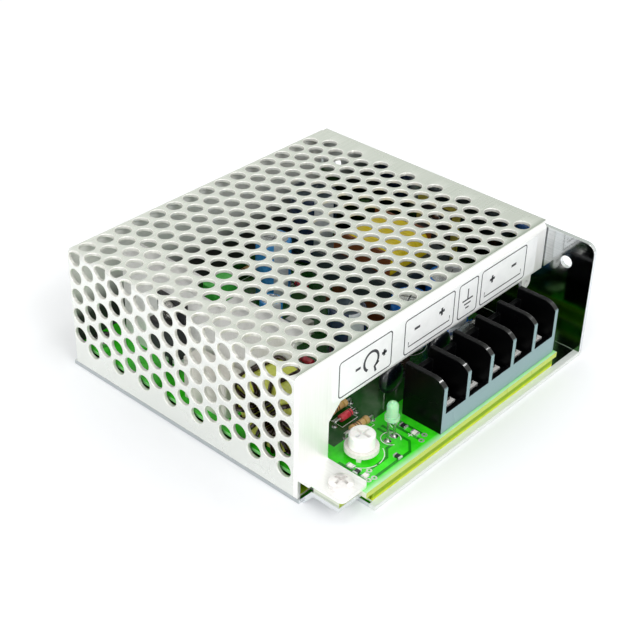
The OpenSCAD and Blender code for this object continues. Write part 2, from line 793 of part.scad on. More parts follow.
module transformer_bobbin() {
    half_z = coil_h / 2 + 0.2;
    rail = 3.4;
    foot = coil_axis_z - board_top;
    color("#1d1e20") at_transformer() {
        upright_yz(-bobbin_end, 2 * bobbin_end) difference() {
            square(2 * tube_out, center = true);
            square(2 * tube_in, center = true);
        }
        for (s = [-1, 1]) {
            upright_yz(s * (bobbin_end - bobbin_t / 2) - bobbin_t / 2, bobbin_t) difference() {
                translate([-coil_half, -half_z]) square([2 * coil_half, 2 * half_z]);
                square(2 * tube_in, center = true);
            }
            upright_yz(s * (bobbin_end - bobbin_t + rail / 2) - rail / 2, rail)
                translate([-coil_half, -foot]) square([2 * coil_half, coil_lift - 0.2]);
        }
    }
}

module transformer_winding() {
    length = 2 * (bobbin_end - bobbin_t) - 0.1;
    color("#e8c22e") at_transformer() upright_yz(-length / 2, length) difference() {
        rounded_rect(-coil_half, -coil_h / 2, coil_half, coil_h / 2, 4);
        square(2 * tube_out + 0.1, center = true);
    }
}

// Output choke: ring core standing on edge, its axis along X

choke_gap = 0.02;
choke_z = board_top + choke_r + choke_gap + choke_wire;

module at_choke() {
    p = left_front(choke_at);
    translate([p[0], p[1], choke_z]) rotate([0, 90, 0]) children();
}

module output_choke_core() {
    color("#d9cf3a") at_choke() translate([0, 0, -choke_w / 2]) difference() {
        cylinder(r = choke_r, h = choke_w);
        translate([0, 0, -1]) cylinder(r = choke_bore_r, h = choke_w + 2);
    }
}

module output_choke_winding() {
    in_r = sqrt(choke_bore_r * choke_bore_r - choke_wire * choke_wire / 4) - choke_gap;
    out_r = choke_r + choke_gap;
    half = choke_w / 2 + choke_gap;
    color("#b4652a") at_choke() for (k = [0:choke_turns - 1]) rotate([0, 0, 360 / choke_turns * k])
        translate([0, choke_wire / 2, 0]) rotate([90, 0, 0]) linear_extrude(choke_wire) difference() {
            translate([in_r - choke_wire, -half - choke_wire])
                square([out_r - in_r + 2 * choke_wire, 2 * (half + choke_wire)]);
            translate([in_r, -half]) square([out_r - in_r, 2 * half]);
        }
}

// Input choke: drum core with its coil between two rims

drum_r = 4.2;
drum_h = 10;
drum_rim = 1.4;
drum_neck_r = 2;

module input_choke_core() {
    p = right_front(drum_at);
    color("#3c3e42") translate([p[0], p[1], board_top]) {
        cylinder(r = drum_r, h = drum_rim);
        cylinder(r = drum_neck_r, h = drum_h);
        translate([0, 0, drum_h - drum_rim]) cylinder(r = drum_r, h = drum_rim);
    }
}

module input_choke_winding() {
    p = right_front(drum_at);
    color("#a85a2c") translate([p[0], p[1], board_top + drum_rim + 0.05]) difference() {
        cylinder(r = drum_r - 0.5, h = drum_h - 2 * drum_rim - 0.1);
        translate([0, 0, -1]) cylinder(r = drum_neck_r + 0.05, h = drum_h);
    }
}

// Capacitors

module input_capacitors() {
    color("#2a66c8") for (c = input_caps) radial_can(right_front(c), c[2], c[3]);
}

module output_capacitors() {
    color("#2c3a52") {
        radial_can(left_front(output_cap_front), output_cap_front[2], output_cap_front[3]);
        radial_can(right_back(output_cap_rear), output_cap_rear[2], output_cap_rear[3]);
    }
}

module aux_capacitors() {
    color("#2f7fd8") {
        radial_can(left_front(aux_cap_front), aux_cap_front[2], aux_cap_front[3]);
        radial_can(left_back(aux_cap_rear), aux_cap_rear[2], aux_cap_rear[3]);
    }
}

module disc_capacitors() {
    lead = 0.3;
    lead_pitch = 5;
    color("#2d6fd0") for (p = [left_front(disc_left), right_front(disc_right)])
        translate([p[0], p[1], board_top]) {
            translate([0, disc_t / 2, disc_lift + disc_r]) rotate([90, 0, 0])
                cylinder(r = disc_r, h = disc_t);
            for (s = [-1, 1]) translate([s * lead_pitch / 2, 0, 0])
                cylinder(r = lead, h = disc_lift + disc_r);
        }
}

module film_capacitor() {
    p = left_front(film_at);
    corner_r = 0.8;
    half = film_size / 2;
    color("#e9e2cc") translate([p[0], p[1], board_top]) linear_extrude(film_size[2])
        rounded_rect(-half[0], -half[1], half[0], half[1], corner_r);
}

module green_capacitor() {
    p = left_back(green_at);
    corner_r = 2;
    lead = 0.3;
    lead_pitch = 7.5;
    half = green_size / 2;
    color("#3fae45") translate([p[0], p[1], board_top]) {
        translate([0, 0, green_lift]) linear_extrude(green_size[2])
            rounded_rect(-half[0], -half[1], half[0], half[1], corner_r);
        for (s = [-1, 1]) translate([s * lead_pitch / 2, 0, 0]) cylinder(r = lead, h = 2 * green_lift);
    }
}

// Heatsink and power semiconductors

module rectifier_heatsink() {
    y1 = heatsink_y + heatsink_l;
    z0 = board_top;
    color("#d2d4d6") {
        upright_yz(heatsink_x, heatsink_t) difference() {
            translate([heatsink_y, z0]) square([heatsink_l, heatsink_top - bend_r - z0]);
            translate([y_f + rectifier_y, rectifier_z + power_hole_up]) circle(r = tapped_r);
        }
        for (y = [heatsink_y, y1 - heatsink_flange_l]) {
            translate([heatsink_x + bend_r, y, heatsink_top - bend_r]) rotate([0, 180, 0])
                sheet_bend(heatsink_flange_l, heatsink_t);
            translate([heatsink_x + bend_r, y, heatsink_top - heatsink_t])
                cube([heatsink_flange - bend_r, heatsink_flange_l, heatsink_t]);
        }
    }
}

module output_rectifier() {
    color("#1b1c1e") translate([heatsink_x, y_f + rectifier_y, rectifier_z])
        power_package(rectifier_z - board_top);
}

module rectifier_screw() {
    color("#d8d8d6") translate([heatsink_x - power_tab_t, y_f + rectifier_y, rectifier_z + power_hole_up])
        rotate([0, -90, 0]) pan_screw(screw_r, power_tab_t + heatsink_t, head_r * 0.9, head_h);
}

module switching_transistor() {
    lead_x = wall_in - pad_t - power_body[2] / 2 - power_lead / 2;
    foot_x = board_x1 - 0.8 - power_lead;
    drop = 2;
    lead_z = transistor_z - drop;
    color("#1b1c1e") {
        translate([wall_in - pad_t, y_f + transistor_y, transistor_z]) power_package(drop);
        for (s = [-1, 0, 1]) {
            y = y_f + transistor_y + s * power_lead_pitch - power_lead / 2;
            translate([foot_x, y, lead_z]) cube([lead_x + power_lead - foot_x, power_lead, power_lead]);
            translate([foot_x, y, board_top]) cube([power_lead, power_lead, lead_z + power_lead - board_top]);
        }
    }
}

module transistor_pad() {
    margin = 2.5;
    w = power_body[0] + 2 * margin;
    h = power_body[1] + power_tab_h + margin;
    color("#b9a53a") upright_yz(wall_in - pad_t, pad_t) difference() {
        translate([y_f + transistor_y - w / 2, transistor_z - margin / 2]) square([w, h]);
        translate([y_f + transistor_y, transistor_z + power_hole_up]) circle(r = plain_hole_r);
    }
}

module transistor_screw() {
    seat_x = wall_in - pad_t - power_tab_t;
    color("#d8d8d6") translate([seat_x, y_f + transistor_y, transistor_z + power_hole_up])
        rotate([0, -90, 0]) pan_screw(screw_r, power_tab_t + pad_t + chassis_t, head_r * 0.9, head_h);
}

// Control parts

// Dual in-line package with its pins, along X
module inline_package(p, pins) {
    pitch = 2.54;
    length = pins * pitch - 0.6;
    lift = 0.5;
    pin = [1.2, 0.3];
    pin_y = inline_w / 2 + pin[1];
    shoulder_z = lift + inline_h / 2;
    translate([p[0], p[1], board_top]) {
        difference() {
            translate([-length / 2, -inline_w / 2, lift]) cube([length, inline_w, inline_h]);
            translate([-length / 2, 0, lift + inline_h - 0.6]) cylinder(r = 0.8, h = 2);
        }
        for (s = [-1, 1]) for (k = [0:pins - 1])
            translate([(k - (pins - 1) / 2) * pitch - pin[0] / 2, s * pin_y, 0]) {
                translate([0, -pin[1] / 2, 0]) cube([pin[0], pin[1], shoulder_z]);
                translate([0, -s * pin[1] / 2 - pin[1], shoulder_z - pin[1]])
                    cube([pin[0], 2 * pin[1], pin[1]]);
            }
    }
}

module controller_ic() {
    color("#222326") inline_package(left_front(ic_at), 4);
}

module optocoupler() {
    color("#e6e4da") inline_package(left_front(opto_at), 2);
}

module resistor(p, turn) {
    axial_part(p, turn, resistor_size[0], resistor_size[1], resistor_size[2], resistor_size[3]);
}

module resistors_axial() {
    color("#d6b98a") {
        for (c = front_resistors) resistor(left_front(c), c[2]);
        for (c = rear_resistors) resistor(left_back(c), c[2]);
    }
}

module diodes_axial() {
    color("#b8453f") for (c = diodes)
        axial_part(left_front(c), c[2], diode_size[0], diode_size[1], diode_size[2], diode_size[3]);
}

module fuse() {
    p = right_front(fuse_at);
    lead = 0.35;
    lead_out = 0.8;
    cap_t = 0.2;
    axis_z = board_top + fuse_r + axial_lift;
    color("#d9dcd4") {
        axial_part(p, 0, fuse_r, fuse_l, fuse_l + 2 * lead_out, lead);
        for (s = [-1, 1]) translate([p[0] + s * (fuse_l - fuse_cap_l) / 2, p[1], axis_z]) rotate([0, 90, 0])
            cylinder(r = fuse_r + cap_t, h = fuse_cap_l, center = true);
    }
}

chassis();
cover();
cover_screws();
terminal_label();
insulation_sheet();
pcb();
pcb_standoffs();
pcb_screws();
terminal_housing();
terminal_strips();
clamp_washer(1);  // clamp_washer_1
clamp_washer(2);  // clamp_washer_2
clamp_washer(3);  // clamp_washer_3
clamp_washer(4);  // clamp_washer_4
clamp_washer(5);  // clamp_washer_5
terminal_screw(1);  // terminal_screw_1
terminal_screw(2);  // terminal_screw_2
terminal_screw(3);  // terminal_screw_3
terminal_screw(4);  // terminal_screw_4
terminal_screw(5);  // terminal_screw_5
trimmer_body();
trimmer_rotor();
led_lens();
led_leads();
transformer_core();
transformer_bobbin();
transformer_winding();
output_choke_core();
output_choke_winding();
input_choke_core();
input_choke_winding();
input_capacitors();
output_capacitors();
aux_capacitors();
disc_capacitors();
film_capacitor();
green_capacitor();
rectifier_heatsink();
output_rectifier();
rectifier_screw();
switching_transistor();
transistor_pad();
transistor_screw();
controller_ic();
optocoupler();
resistors_axial();
diodes_axial();
fuse();
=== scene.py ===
# Enclosed dc-dc converter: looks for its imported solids, in metres, Z up, terminals towards -Y.
import math

import bmesh
import bpy
from mathutils import Matrix, Vector


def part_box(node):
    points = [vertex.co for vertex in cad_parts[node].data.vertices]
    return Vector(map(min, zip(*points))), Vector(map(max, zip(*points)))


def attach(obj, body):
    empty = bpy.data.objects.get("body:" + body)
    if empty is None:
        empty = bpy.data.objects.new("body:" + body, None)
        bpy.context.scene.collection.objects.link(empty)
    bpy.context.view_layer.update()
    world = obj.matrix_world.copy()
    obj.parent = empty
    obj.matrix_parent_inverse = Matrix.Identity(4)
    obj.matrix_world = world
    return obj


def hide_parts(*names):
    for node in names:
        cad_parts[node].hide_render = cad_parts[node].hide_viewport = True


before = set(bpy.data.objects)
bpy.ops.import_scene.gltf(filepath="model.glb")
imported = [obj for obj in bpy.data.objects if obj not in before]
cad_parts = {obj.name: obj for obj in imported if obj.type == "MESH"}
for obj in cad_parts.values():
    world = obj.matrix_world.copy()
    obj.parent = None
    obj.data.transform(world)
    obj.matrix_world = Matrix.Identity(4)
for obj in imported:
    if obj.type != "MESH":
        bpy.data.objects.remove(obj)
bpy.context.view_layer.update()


# Chassis: one sheet of bright rolled aluminium, folded into base plate, right wall and rear lip,
# with a raised ear at the front left. The rolling leaves fine lines and the handling faint smears.
# Its front margin is brushed matt. Painted shade darkens its left edge, and a painted reflection of
# the green board, dimmed as shade, lies on the lower part of the wall's inner face.
MM = 0.001
CHASSIS_DARK = "#d4d8da"
CHASSIS_LIGHT = "#eef0f1"
WALL_REFLECTION_SHADE = "#4c7446"
CHASSIS_EDGE_SHADE = "#bcc2c3"
CHASSIS_MATT = "#dfe3e0"
MATT_FRONT = -47.25
MATT_TOP = 1.3
EDGE_SHADE_X = -49.0
WALL_X = 40.0
WALL_REFLECTION_TOP = 25.0
WALL_REFLECTION_FULL = 22.0
BARE_EDGE = "#f2f2f0"
DUST = "#b9b4a8"


def tint(code):
    """Linear colour of a written #rrggbb colour."""
    parts = [int(code[i:i + 2], 16) / 255 for i in (1, 3, 5)]
    return [c / 12.92 if c <= 0.04045 else ((c + 0.055) / 1.055) ** 2.4 for c in parts] + [1.0]


def place(tree, kind, inputs=None, **settings):
    """Adds a shader node. An input given as a socket is linked, any other is set."""
    node = tree.nodes.new("ShaderNode" + kind)
    for name, value in settings.items():
        setattr(node, name, value)
    for name, value in (inputs or {}).items():
        if isinstance(value, bpy.types.NodeSocket):
            tree.links.new(value, node.inputs[name])
        else:
            node.inputs[name].default_value = value
    return node


def sums(tree, operation, *terms):
    """Result of a Math node, kept between 0 and 1."""
    return place(tree, "Math", dict(enumerate(terms)), operation=operation, use_clamp=True).outputs[0]


def rise(tree, value, start, end):
    """Value that goes from 0 at start to 1 at end."""
    return place(tree, "MapRange", {"Value": value, "From Min": start, "From Max": end}).outputs[0]


def blend(tree, amount, under, over):
    """Colour that goes from under to over."""
    return place(tree, "Mix", {0: amount, 6: under, 7: over}, data_type="RGBA").outputs[2]


def millimetres(tree):
    """Place on the piece in millimetres."""
    spot = place(tree, "TexCoord").outputs["Object"]
    return place(tree, "VectorMath", {0: spot, "Scale": 1 / MM}, operation="SCALE").outputs[0]


def spot_of(tree):
    """Place on the piece in millimetres, split into X, Y and Z."""
    return place(tree, "SeparateXYZ", {0: millimetres(tree)}).outputs


def facing_of(tree):
    """Direction that the surface faces, split into X, Y and Z."""
    return place(tree, "SeparateXYZ", {0: place(tree, "NewGeometry").outputs["Normal"]}).outputs


def effect(name, inputs, outputs):
    """Empty node group with named sockets, given with its input and output nodes."""
    group = bpy.data.node_groups.new(name, "ShaderNodeTree")
    for label, value in inputs.items():
        kind = "NodeSocketVector" if isinstance(value, tuple) else "NodeSocketFloat"
        group.interface.new_socket(label, in_out="INPUT", socket_type=kind).default_value = value
    for label, kind in outputs.items():
        group.interface.new_socket(label, in_out="OUTPUT", socket_type="NodeSocket" + kind)
    return group, group.nodes.new("NodeGroupInput").outputs, group.nodes.new("NodeGroupOutput").inputs


def make_grain():
    """Fine lines or specks, stretched by a number of them to the millimetre along each axis."""
    group, given, put = effect("surface_grain", {"Stretch": (1.0, 1.0, 1.0), "Smear": 0.05},
                               {"Tone": "Float", "Smear": "Float"})
    spot = millimetres(group)
    fine = place(group, "VectorMath", {0: spot, 1: given["Stretch"]}, operation="MULTIPLY").outputs[0]
    lines = place(group, "TexNoise", {"Vector": fine, "Scale": 1.0, "Detail": 4.0, "Roughness": 0.65})
    smear = place(group, "TexNoise", {"Vector": spot, "Scale": given["Smear"], "Detail": 3.0})
    for label, noise in (("Tone", lines), ("Smear", smear)):
        group.links.new(rise(group, noise.outputs[0], 0.3, 0.7), put[label])
    return group


def make_edge_wear():
    """Mask of the rubbed edges, and the normal that rounds them off."""
    group, given, put = effect("edge_wear", {"Width": 0.0002, "Amount": 1.0},
                               {"Mask": "Float", "Normal": "Vector"})
    rounded = place(group, "Bevel", {"Radius": given["Width"]}, samples=4).outputs[0]
    flat = place(group, "NewGeometry").outputs["Normal"]
    match = place(group, "VectorMath", {0: rounded, 1: flat}, operation="DOT_PRODUCT").outputs["Value"]
    bend = sums(group, "MULTIPLY", sums(group, "SUBTRACT", 1.0, match), 6.0)
    patchy = place(group, "TexNoise", {"Vector": millimetres(group), "Scale": 0.9, "Detail": 3.0}).outputs[0]
    rubbed_and_fold_shade = sums(group, "MULTIPLY", bend, sums(group, "MULTIPLY_ADD", patchy, 1.6, -0.2))
    group.links.new(sums(group, "MULTIPLY", rubbed_and_fold_shade, given["Amount"]), put["Mask"])
    group.links.new(rounded, put["Normal"])
    return group


def make_dust():
    """Mask of the thin dust that settles on faces that look up."""
    group, given, put = effect("settled_dust", {"Amount": 0.2}, {"Mask": "Float"})
    up = rise(group, facing_of(group)["Z"], 0.0, 1.0)
    cloud = place(group, "TexNoise", {"Vector": millimetres(group), "Scale": 0.35, "Detail": 6.0}).outputs[0]
    lying = sums(group, "MULTIPLY", rise(group, cloud, 0.4, 0.75), up)
    group.links.new(sums(group, "MULTIPLY", lying, given["Amount"]), put["Mask"])
    return group


surface_grain = make_grain()
edge_wear = make_edge_wear()
settled_dust = make_dust()


def finish(name, dark, light, rough, stretch, metal=0.0, wear=0.0, worn=BARE_EDGE, edge=0.15, dust=0.0,
           relief=0.0, smear=0.05, paint=None, **fixed):
    """Material of one finish: two tones of grain, rubbed edges, dust, and relief in millimetres.

    rough gives the lowest and highest roughness, stretch the grain's lines to the millimetre along each
    axis or along all of them, paint may add a layer of colour of the piece's own, and fixed holds the
    shader's plain values.
    """
    material = bpy.data.materials.new(name)
    material.use_nodes = True
    tree = material.node_tree
    shader = tree.nodes["Principled BSDF"]
    grain = place(tree, "Group", node_tree=surface_grain)
    grain.inputs["Stretch"].default_value = stretch if isinstance(stretch, tuple) else (stretch,) * 3
    grain.inputs["Smear"].default_value = smear
    edges = place(tree, "Group", node_tree=edge_wear)
    edges.inputs["Width"].default_value = edge * MM
    edges.inputs["Amount"].default_value = wear
    colour = blend(tree, grain.outputs["Tone"], tint(dark), tint(light))
    if paint:
        colour = paint(tree, colour)
    colour = blend(tree, edges.outputs["Mask"], colour, tint(worn))
    if dust:
        lying = place(tree, "Group", node_tree=settled_dust)
        lying.inputs["Amount"].default_value = dust
        colour = blend(tree, lying.outputs["Mask"], colour, tint(DUST))
    tree.links.new(colour, shader.inputs["Base Color"])
    dull_and_shaded = place(tree, "MapRange", {"Value": grain.outputs["Smear"], "To Min": rough[0], "To Max": rough[1]})
    tree.links.new(dull_and_shaded.outputs[0], shader.inputs["Roughness"])
    normal = edges.outputs["Normal"]
    if relief:
        normal = place(tree, "Bump", {"Strength": 1.0, "Distance": relief * MM, "Normal": normal,
                                      "Height": grain.outputs["Tone"]}).outputs[0]
    tree.links.new(normal, shader.inputs["Normal"])
    shader.inputs["Metallic"].default_value = metal
    for label, value in fixed.items():
        shader.inputs[label.replace("_", " ").title().replace("Ior", "IOR")].default_value = value
    return material


def dress(material, *names):
    """Gives a finish to solids that stay as the frame has them."""
    for name in names:
        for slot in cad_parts[name].material_slots:
            slot.material = material


def matt_front(tree):
    """Mask of the front margin of the base plate, which is brushed matt."""
    spot = spot_of(tree)
    low = sums(tree, "LESS_THAN", spot["Z"], MATT_TOP)
    return sums(tree, "MULTIPLY", low, sums(tree, "LESS_THAN", spot["Y"], MATT_FRONT))


def chassis_layers(tree, colour):
    """Painted shade on the left edge, and a painted dim green reflection low on the right wall's inner face.
    """
    spot = spot_of(tree)
    left = sums(tree, "MULTIPLY", facing_of(tree)["X"], -1.0)
    # Painted shade on the left edge of the base plate.
    edge = sums(tree, "MULTIPLY", left, sums(tree, "LESS_THAN", spot["X"], EDGE_SHADE_X))
    # Painted reflection of the green board, dimmed as shade, low on the right wall's inner face.
    reflected_board = sums(tree, "MULTIPLY", left, rise(tree, spot["Z"], WALL_REFLECTION_TOP, WALL_REFLECTION_FULL))
    wall = sums(tree, "MULTIPLY", reflected_board, sums(tree, "GREATER_THAN", spot["X"], WALL_X))
    colour = blend(tree, matt_front(tree), colour, tint(CHASSIS_MATT))
    return blend(tree, wall, blend(tree, edge, colour, tint(CHASSIS_EDGE_SHADE)), tint(WALL_REFLECTION_SHADE))


bright_sheet = finish("bright_rolled_sheet", CHASSIS_DARK, CHASSIS_LIGHT, (0.06, 0.16), (3.0, 0.05, 3.0),
                      metal=1.0, wear=0.5, relief=0.0006, paint=chassis_layers)
tree = bright_sheet.node_tree
bright = sums(tree, "SUBTRACT", 1.0, matt_front(tree))
tree.links.new(bright, tree.nodes["Principled BSDF"].inputs["Metallic"])
dress(bright_sheet, "chassis")


# Insulation film: thin yellow-green plastic sheet, cut from a roll, with its front edge folded up as a
# lip. It lies on the base plate under the board, held down by the standoffs.
FILM_DARK = "#bed014"
FILM_LIGHT = "#d8e632"
FILM_SHADE = "#86a80c"
FILM_FOLD_HIGHLIGHT = "#dfe6cf"
SHADE_BAND = 1.4
SHADE_FADE = 1.96
FOLD_HIGHLIGHT_BAND = 0.15
FOLD_HIGHLIGHT_FADE = 0.3
film_foot, film_top = (corner[2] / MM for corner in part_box("insulation_sheet"))


def film_layers(tree, colour):
    """Painted shade as a dark band along the upper edge of the lip, and a painted highlight along its fold.
    """
    height = spot_of(tree)["Z"]
    # Painted shade under the board's edge.
    shade = rise(tree, height, film_top - SHADE_FADE, film_top - SHADE_BAND)
    # Painted highlight: the foot of the lip paled as if catching light.
    fold_highlight = rise(tree, height, film_foot + FOLD_HIGHLIGHT_FADE, film_foot + FOLD_HIGHLIGHT_BAND)
    return blend(tree, fold_highlight, blend(tree, shade, colour, tint(FILM_SHADE)), tint(FILM_FOLD_HIGHLIGHT))


film = finish("insulation_film", FILM_DARK, FILM_LIGHT, (0.22, 0.4), 0.4, paint=film_layers,
              specular_ior_level=0.15, subsurface_weight=0.15, subsurface_scale=0.001)
dress(film, "insulation_sheet")


# Standoffs: three turned aluminium pillars that carry the board clear of the film. They are pressed into
# holes of the base plate, and the turning leaves fine rings on them.
turned_metal = finish("turned_standoff", "#a9abad", "#c9cbcc", (0.25, 0.4), (0.3, 0.3, 8.0), metal=1.0,
                      wear=0.4, relief=0.001)
dress(turned_metal, "pcb_standoffs")


# Circuit board: glass-fibre laminate under glossy green solder mask, sawn to its outline, so the cut
# edges show the bare laminate. The mask thins out along the front edge and has run over part of the left
# one. Painted shade darkens the mask inside the case behind the flange, and the lower part of the left edge.
MASK_DARK = "#20cc0c"
MASK_LIGHT = "#3cec18"
MASK_THIN = "#cdeccb"
MASK_RUN = "#84d87e"
MASK_FLANGE_SHADE = "#0b520c"
LAMINATE = "#b6cc40"
LAMINATE_SHADE = "#1c2410"
LAMINATE_PALE = "#dde4d2"
FLANGE_SHADE_LEFT = -34.0
FLANGE_SHADE_FRONT = -31.6
EAR_BACK = -37.5
THIN_EDGE = 1.8
THIN_SHARE = 0.85
RUN_SHARE = 0.4
board_low, board_high = (Vector(corner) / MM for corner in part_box("pcb"))


def board_layers(tree, colour):
    """Painted shade inside the case, mask thinning at the front, sawn edges with painted shade low on the
    left.
    """
    spot = spot_of(tree)
    facing = facing_of(tree)
    # Painted shade: a darker green over the mask inside the case, behind the flange.
    flange_shade = sums(tree, "MULTIPLY", sums(tree, "GREATER_THAN", spot["X"], FLANGE_SHADE_LEFT),
                 sums(tree, "GREATER_THAN", spot["Y"], FLANGE_SHADE_FRONT))
    colour = blend(tree, flange_shade, colour, tint(MASK_FLANGE_SHADE))
    thin = rise(tree, spot["Y"], board_low.y + THIN_EDGE, board_low.y)
    colour = blend(tree, sums(tree, "MULTIPLY", thin, THIN_SHARE), colour, tint(MASK_THIN))
    # Painted shade on the lower part of the left edge, a paler green above it.
    run_foot = board_low.z + RUN_SHARE * (board_high.z - board_low.z)
    upper = sums(tree, "GREATER_THAN", spot["Z"], run_foot)
    run_over = blend(tree, upper, tint(LAMINATE_SHADE), tint(MASK_RUN))
    inside = sums(tree, "GREATER_THAN", spot["Y"], EAR_BACK)
    left_edge = blend(tree, inside, tint(LAMINATE_PALE), run_over)
    sawn = blend(tree, sums(tree, "MULTIPLY", facing["X"], -1.0), tint(LAMINATE), left_edge)
    return blend(tree, sums(tree, "MULTIPLY", facing["Z"], facing["Z"]), sawn, colour)


solder_mask = finish("green_solder_mask", MASK_DARK, MASK_LIGHT, (0.16, 0.3), 0.25, dust=0.05,
                     relief=0.004, paint=board_layers, coat_weight=0.25, coat_roughness=0.1)
dress(solder_mask, "pcb")


# Board print: thin white ink, screened on the finished board round the trimmer, the lamp, the lying parts
# and the larger capacitors, to show where each of them goes.
INK_LIFT = 0.02 * MM
INK_LINE = 0.22 * MM
TRIMMER_RING = 5.6 * MM
TRIMMER_ARCS = ((200, 262), (270, 332))
LAMP_RING = 2.5 * MM
LAMP_ARC = (-60, 240)
LYING_HALF_W = 1.6 * MM
LYING_INSET = 1.4 * MM
CAN_GAP = 0.35 * MM
PLUS_STEP = Vector((4.4, -2.6, 0)) * MM
PLUS_ARM = 0.7 * MM
TICKS = 3
TICK_START = Vector((3.6, 2.4, 0)) * MM
TICK_STEP = Vector((0.9, 0, 0)) * MM
TICK_STROKE = Vector((0.5, 1.3, 0)) * MM
ALONG_X = Vector((1, 0, 0))
ALONG_Y = Vector((0, 1, 0))
UP = Vector((0, 0, 1))
board_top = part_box("pcb")[1][2]


def middle_of(node):
    """Middle of a node's box."""
    low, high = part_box(node)
    return (Vector(low) + Vector(high)) / 2


def solids_of(node):
    """Lowest and highest corner of each separate solid of a node, read from its mesh."""
    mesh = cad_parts[node].data
    owner = list(range(len(mesh.vertices)))

    def root(i):
        """Vertex that stands for all of those joined to a vertex so far."""
        while owner[i] != i:
            owner[i] = owner[owner[i]]
            i = owner[i]
        return i

    corners = {}
    for vertex in mesh.vertices:
        spot = tuple(round(c / MM, 3) for c in vertex.co)
        owner[root(vertex.index)] = root(corners.setdefault(spot, vertex.index))
    for edge in mesh.edges:
        owner[root(edge.vertices[0])] = root(edge.vertices[1])
    groups = {}
    for vertex in mesh.vertices:
        groups.setdefault(root(vertex.index), []).append(vertex.co)
    boxes = [[Vector(pick(c[k] for c in points) for k in range(3)) for pick in (min, max)]
             for points in groups.values()]
    return sorted(boxes, key=lambda box: tuple(box[0]))


def lying_axis(half):
    """Direction in which a lying part is longest, from half its size."""
    return ALONG_X if half.x > half.y else ALONG_Y


def on_board(point):
    """Point laid on the board's printed face."""
    return Vector((point[0], point[1], board_top + INK_LIFT))


def arc_points(centre, radius, start, end, count=24):
    """Points on an arc about Z, angles in degrees."""
    angles = [math.radians(start + (end - start) * i / count) for i in range(count + 1)]
    return [centre + Vector((radius * math.cos(a), radius * math.sin(a), 0)) for a in angles]


def ribbon(bm, points, width, up, closed=False):
    """Flat strip of even width along points, lying square to up."""
    left, right = [], []
    for i, point in enumerate(points):
        before = points[i - 1] if i or closed else point
        after = points[(i + 1) % len(points)] if i + 1 < len(points) or closed else point
        side = up.cross(after - before).normalized() * width / 2
        left.append(bm.verts.new(point + side))
        right.append(bm.verts.new(point - side))
    count = len(points) if closed else len(points) - 1
    for i in range(count):
        k = (i + 1) % len(points)
        bm.faces.new((right[i], right[k], left[k], left[i]))


def piece(name, bm, materials, body, stands_for=(), smooth=None):
    """Turns a bmesh into a piece that rides on a body and may stand for solids."""
    mesh = bpy.data.meshes.new(name)
    bmesh.ops.recalc_face_normals(bm, faces=[f for f in bm.faces if f.tag])
    bm.to_mesh(mesh)
    bm.free()
    for material in materials:
        mesh.materials.append(material)
    obj = bpy.data.objects.new(name, mesh)
    bpy.context.scene.collection.objects.link(obj)
    if smooth is not None:
        mesh.shade_smooth()
        mesh.set_sharp_from_angle(angle=math.radians(smooth))
    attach(obj, body)
    if stands_for:
        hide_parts(*stands_for)


white_ink = finish("white_board_ink", "#d9ded6", "#f4f6f0", (0.5, 0.65), 2.0)
trimmer_spot = on_board(middle_of("trimmer_body"))
lamp_spot = on_board(middle_of("led_lens"))
bm = bmesh.new()
for start, end in TRIMMER_ARCS:
    ribbon(bm, arc_points(trimmer_spot, TRIMMER_RING, start, end), INK_LINE, UP)
ribbon(bm, arc_points(lamp_spot, LAMP_RING, *LAMP_ARC), INK_LINE, UP)
for low, high in solids_of("resistors_axial") + solids_of("diodes_axial"):
    half = (high - low) / 2
    along = lying_axis(half)
    across = UP.cross(along) * LYING_HALF_W
    reach = along * (max(half.x, half.y) - LYING_INSET)
    spot = on_board((low + high) / 2)
    outline = [spot + reach + across, spot - reach + across, spot - reach - across, spot + reach - across]
    ribbon(bm, outline, INK_LINE, UP, closed=True)
for low, high in solids_of("input_capacitors") + solids_of("output_capacitors"):
    ring = arc_points(on_board((low + high) / 2), (high.x - low.x) / 2 + CAN_GAP, 0, 360)
    ribbon(bm, ring, INK_LINE, UP)
plus_spot = lamp_spot + PLUS_STEP
for arm in (ALONG_X * PLUS_ARM, ALONG_Y * PLUS_ARM):
    ribbon(bm, [plus_spot - arm, plus_spot + arm], INK_LINE, UP)
for step in range(TICKS):
    tick = lamp_spot + TICK_START + step * TICK_STEP
    ribbon(bm, [tick, tick + TICK_STROKE], INK_LINE, UP)
piece("board_print", bm, [white_ink], "case")


# Tracks: copper under the mask at the front of the board, which shows as darker lines, with tinned eyes
# where they end. They were etched from the foil before the mask was screened on.
TRACK_LIFT = 0.01 * MM
TRACK_LINE = 0.8 * MM
EYE_R = 0.55 * MM
EYE_LINE = 0.45 * MM
TRACKS = (
    ((-37.6, -45.6), (-37.6, -36.2)),
    ((-34.8, -43.4), (-28.2, -43.4), (-25.6, -41.2), (-23.4, -41.2)),
    ((-36.0, -46.0), (-22.6, -46.0), (-19.6, -43.4), (-19.6, -34.6)),
    ((-17.4, -45.4), (-17.4, -34.6)),
    ((-15.2, -44.6), (-15.2, -34.6)),
    ((-26.6, -37.4), (-26.6, -34.6)),
    ((-21.2, -38.4), (-21.2, -34.6)),
)


def paint_new(bm, start, material):
    """Gives one of the piece's materials to the faces made since there were start of them."""
    bm.faces.ensure_lookup_table()
    for face in bm.faces[start:]:
        face.material_index = material


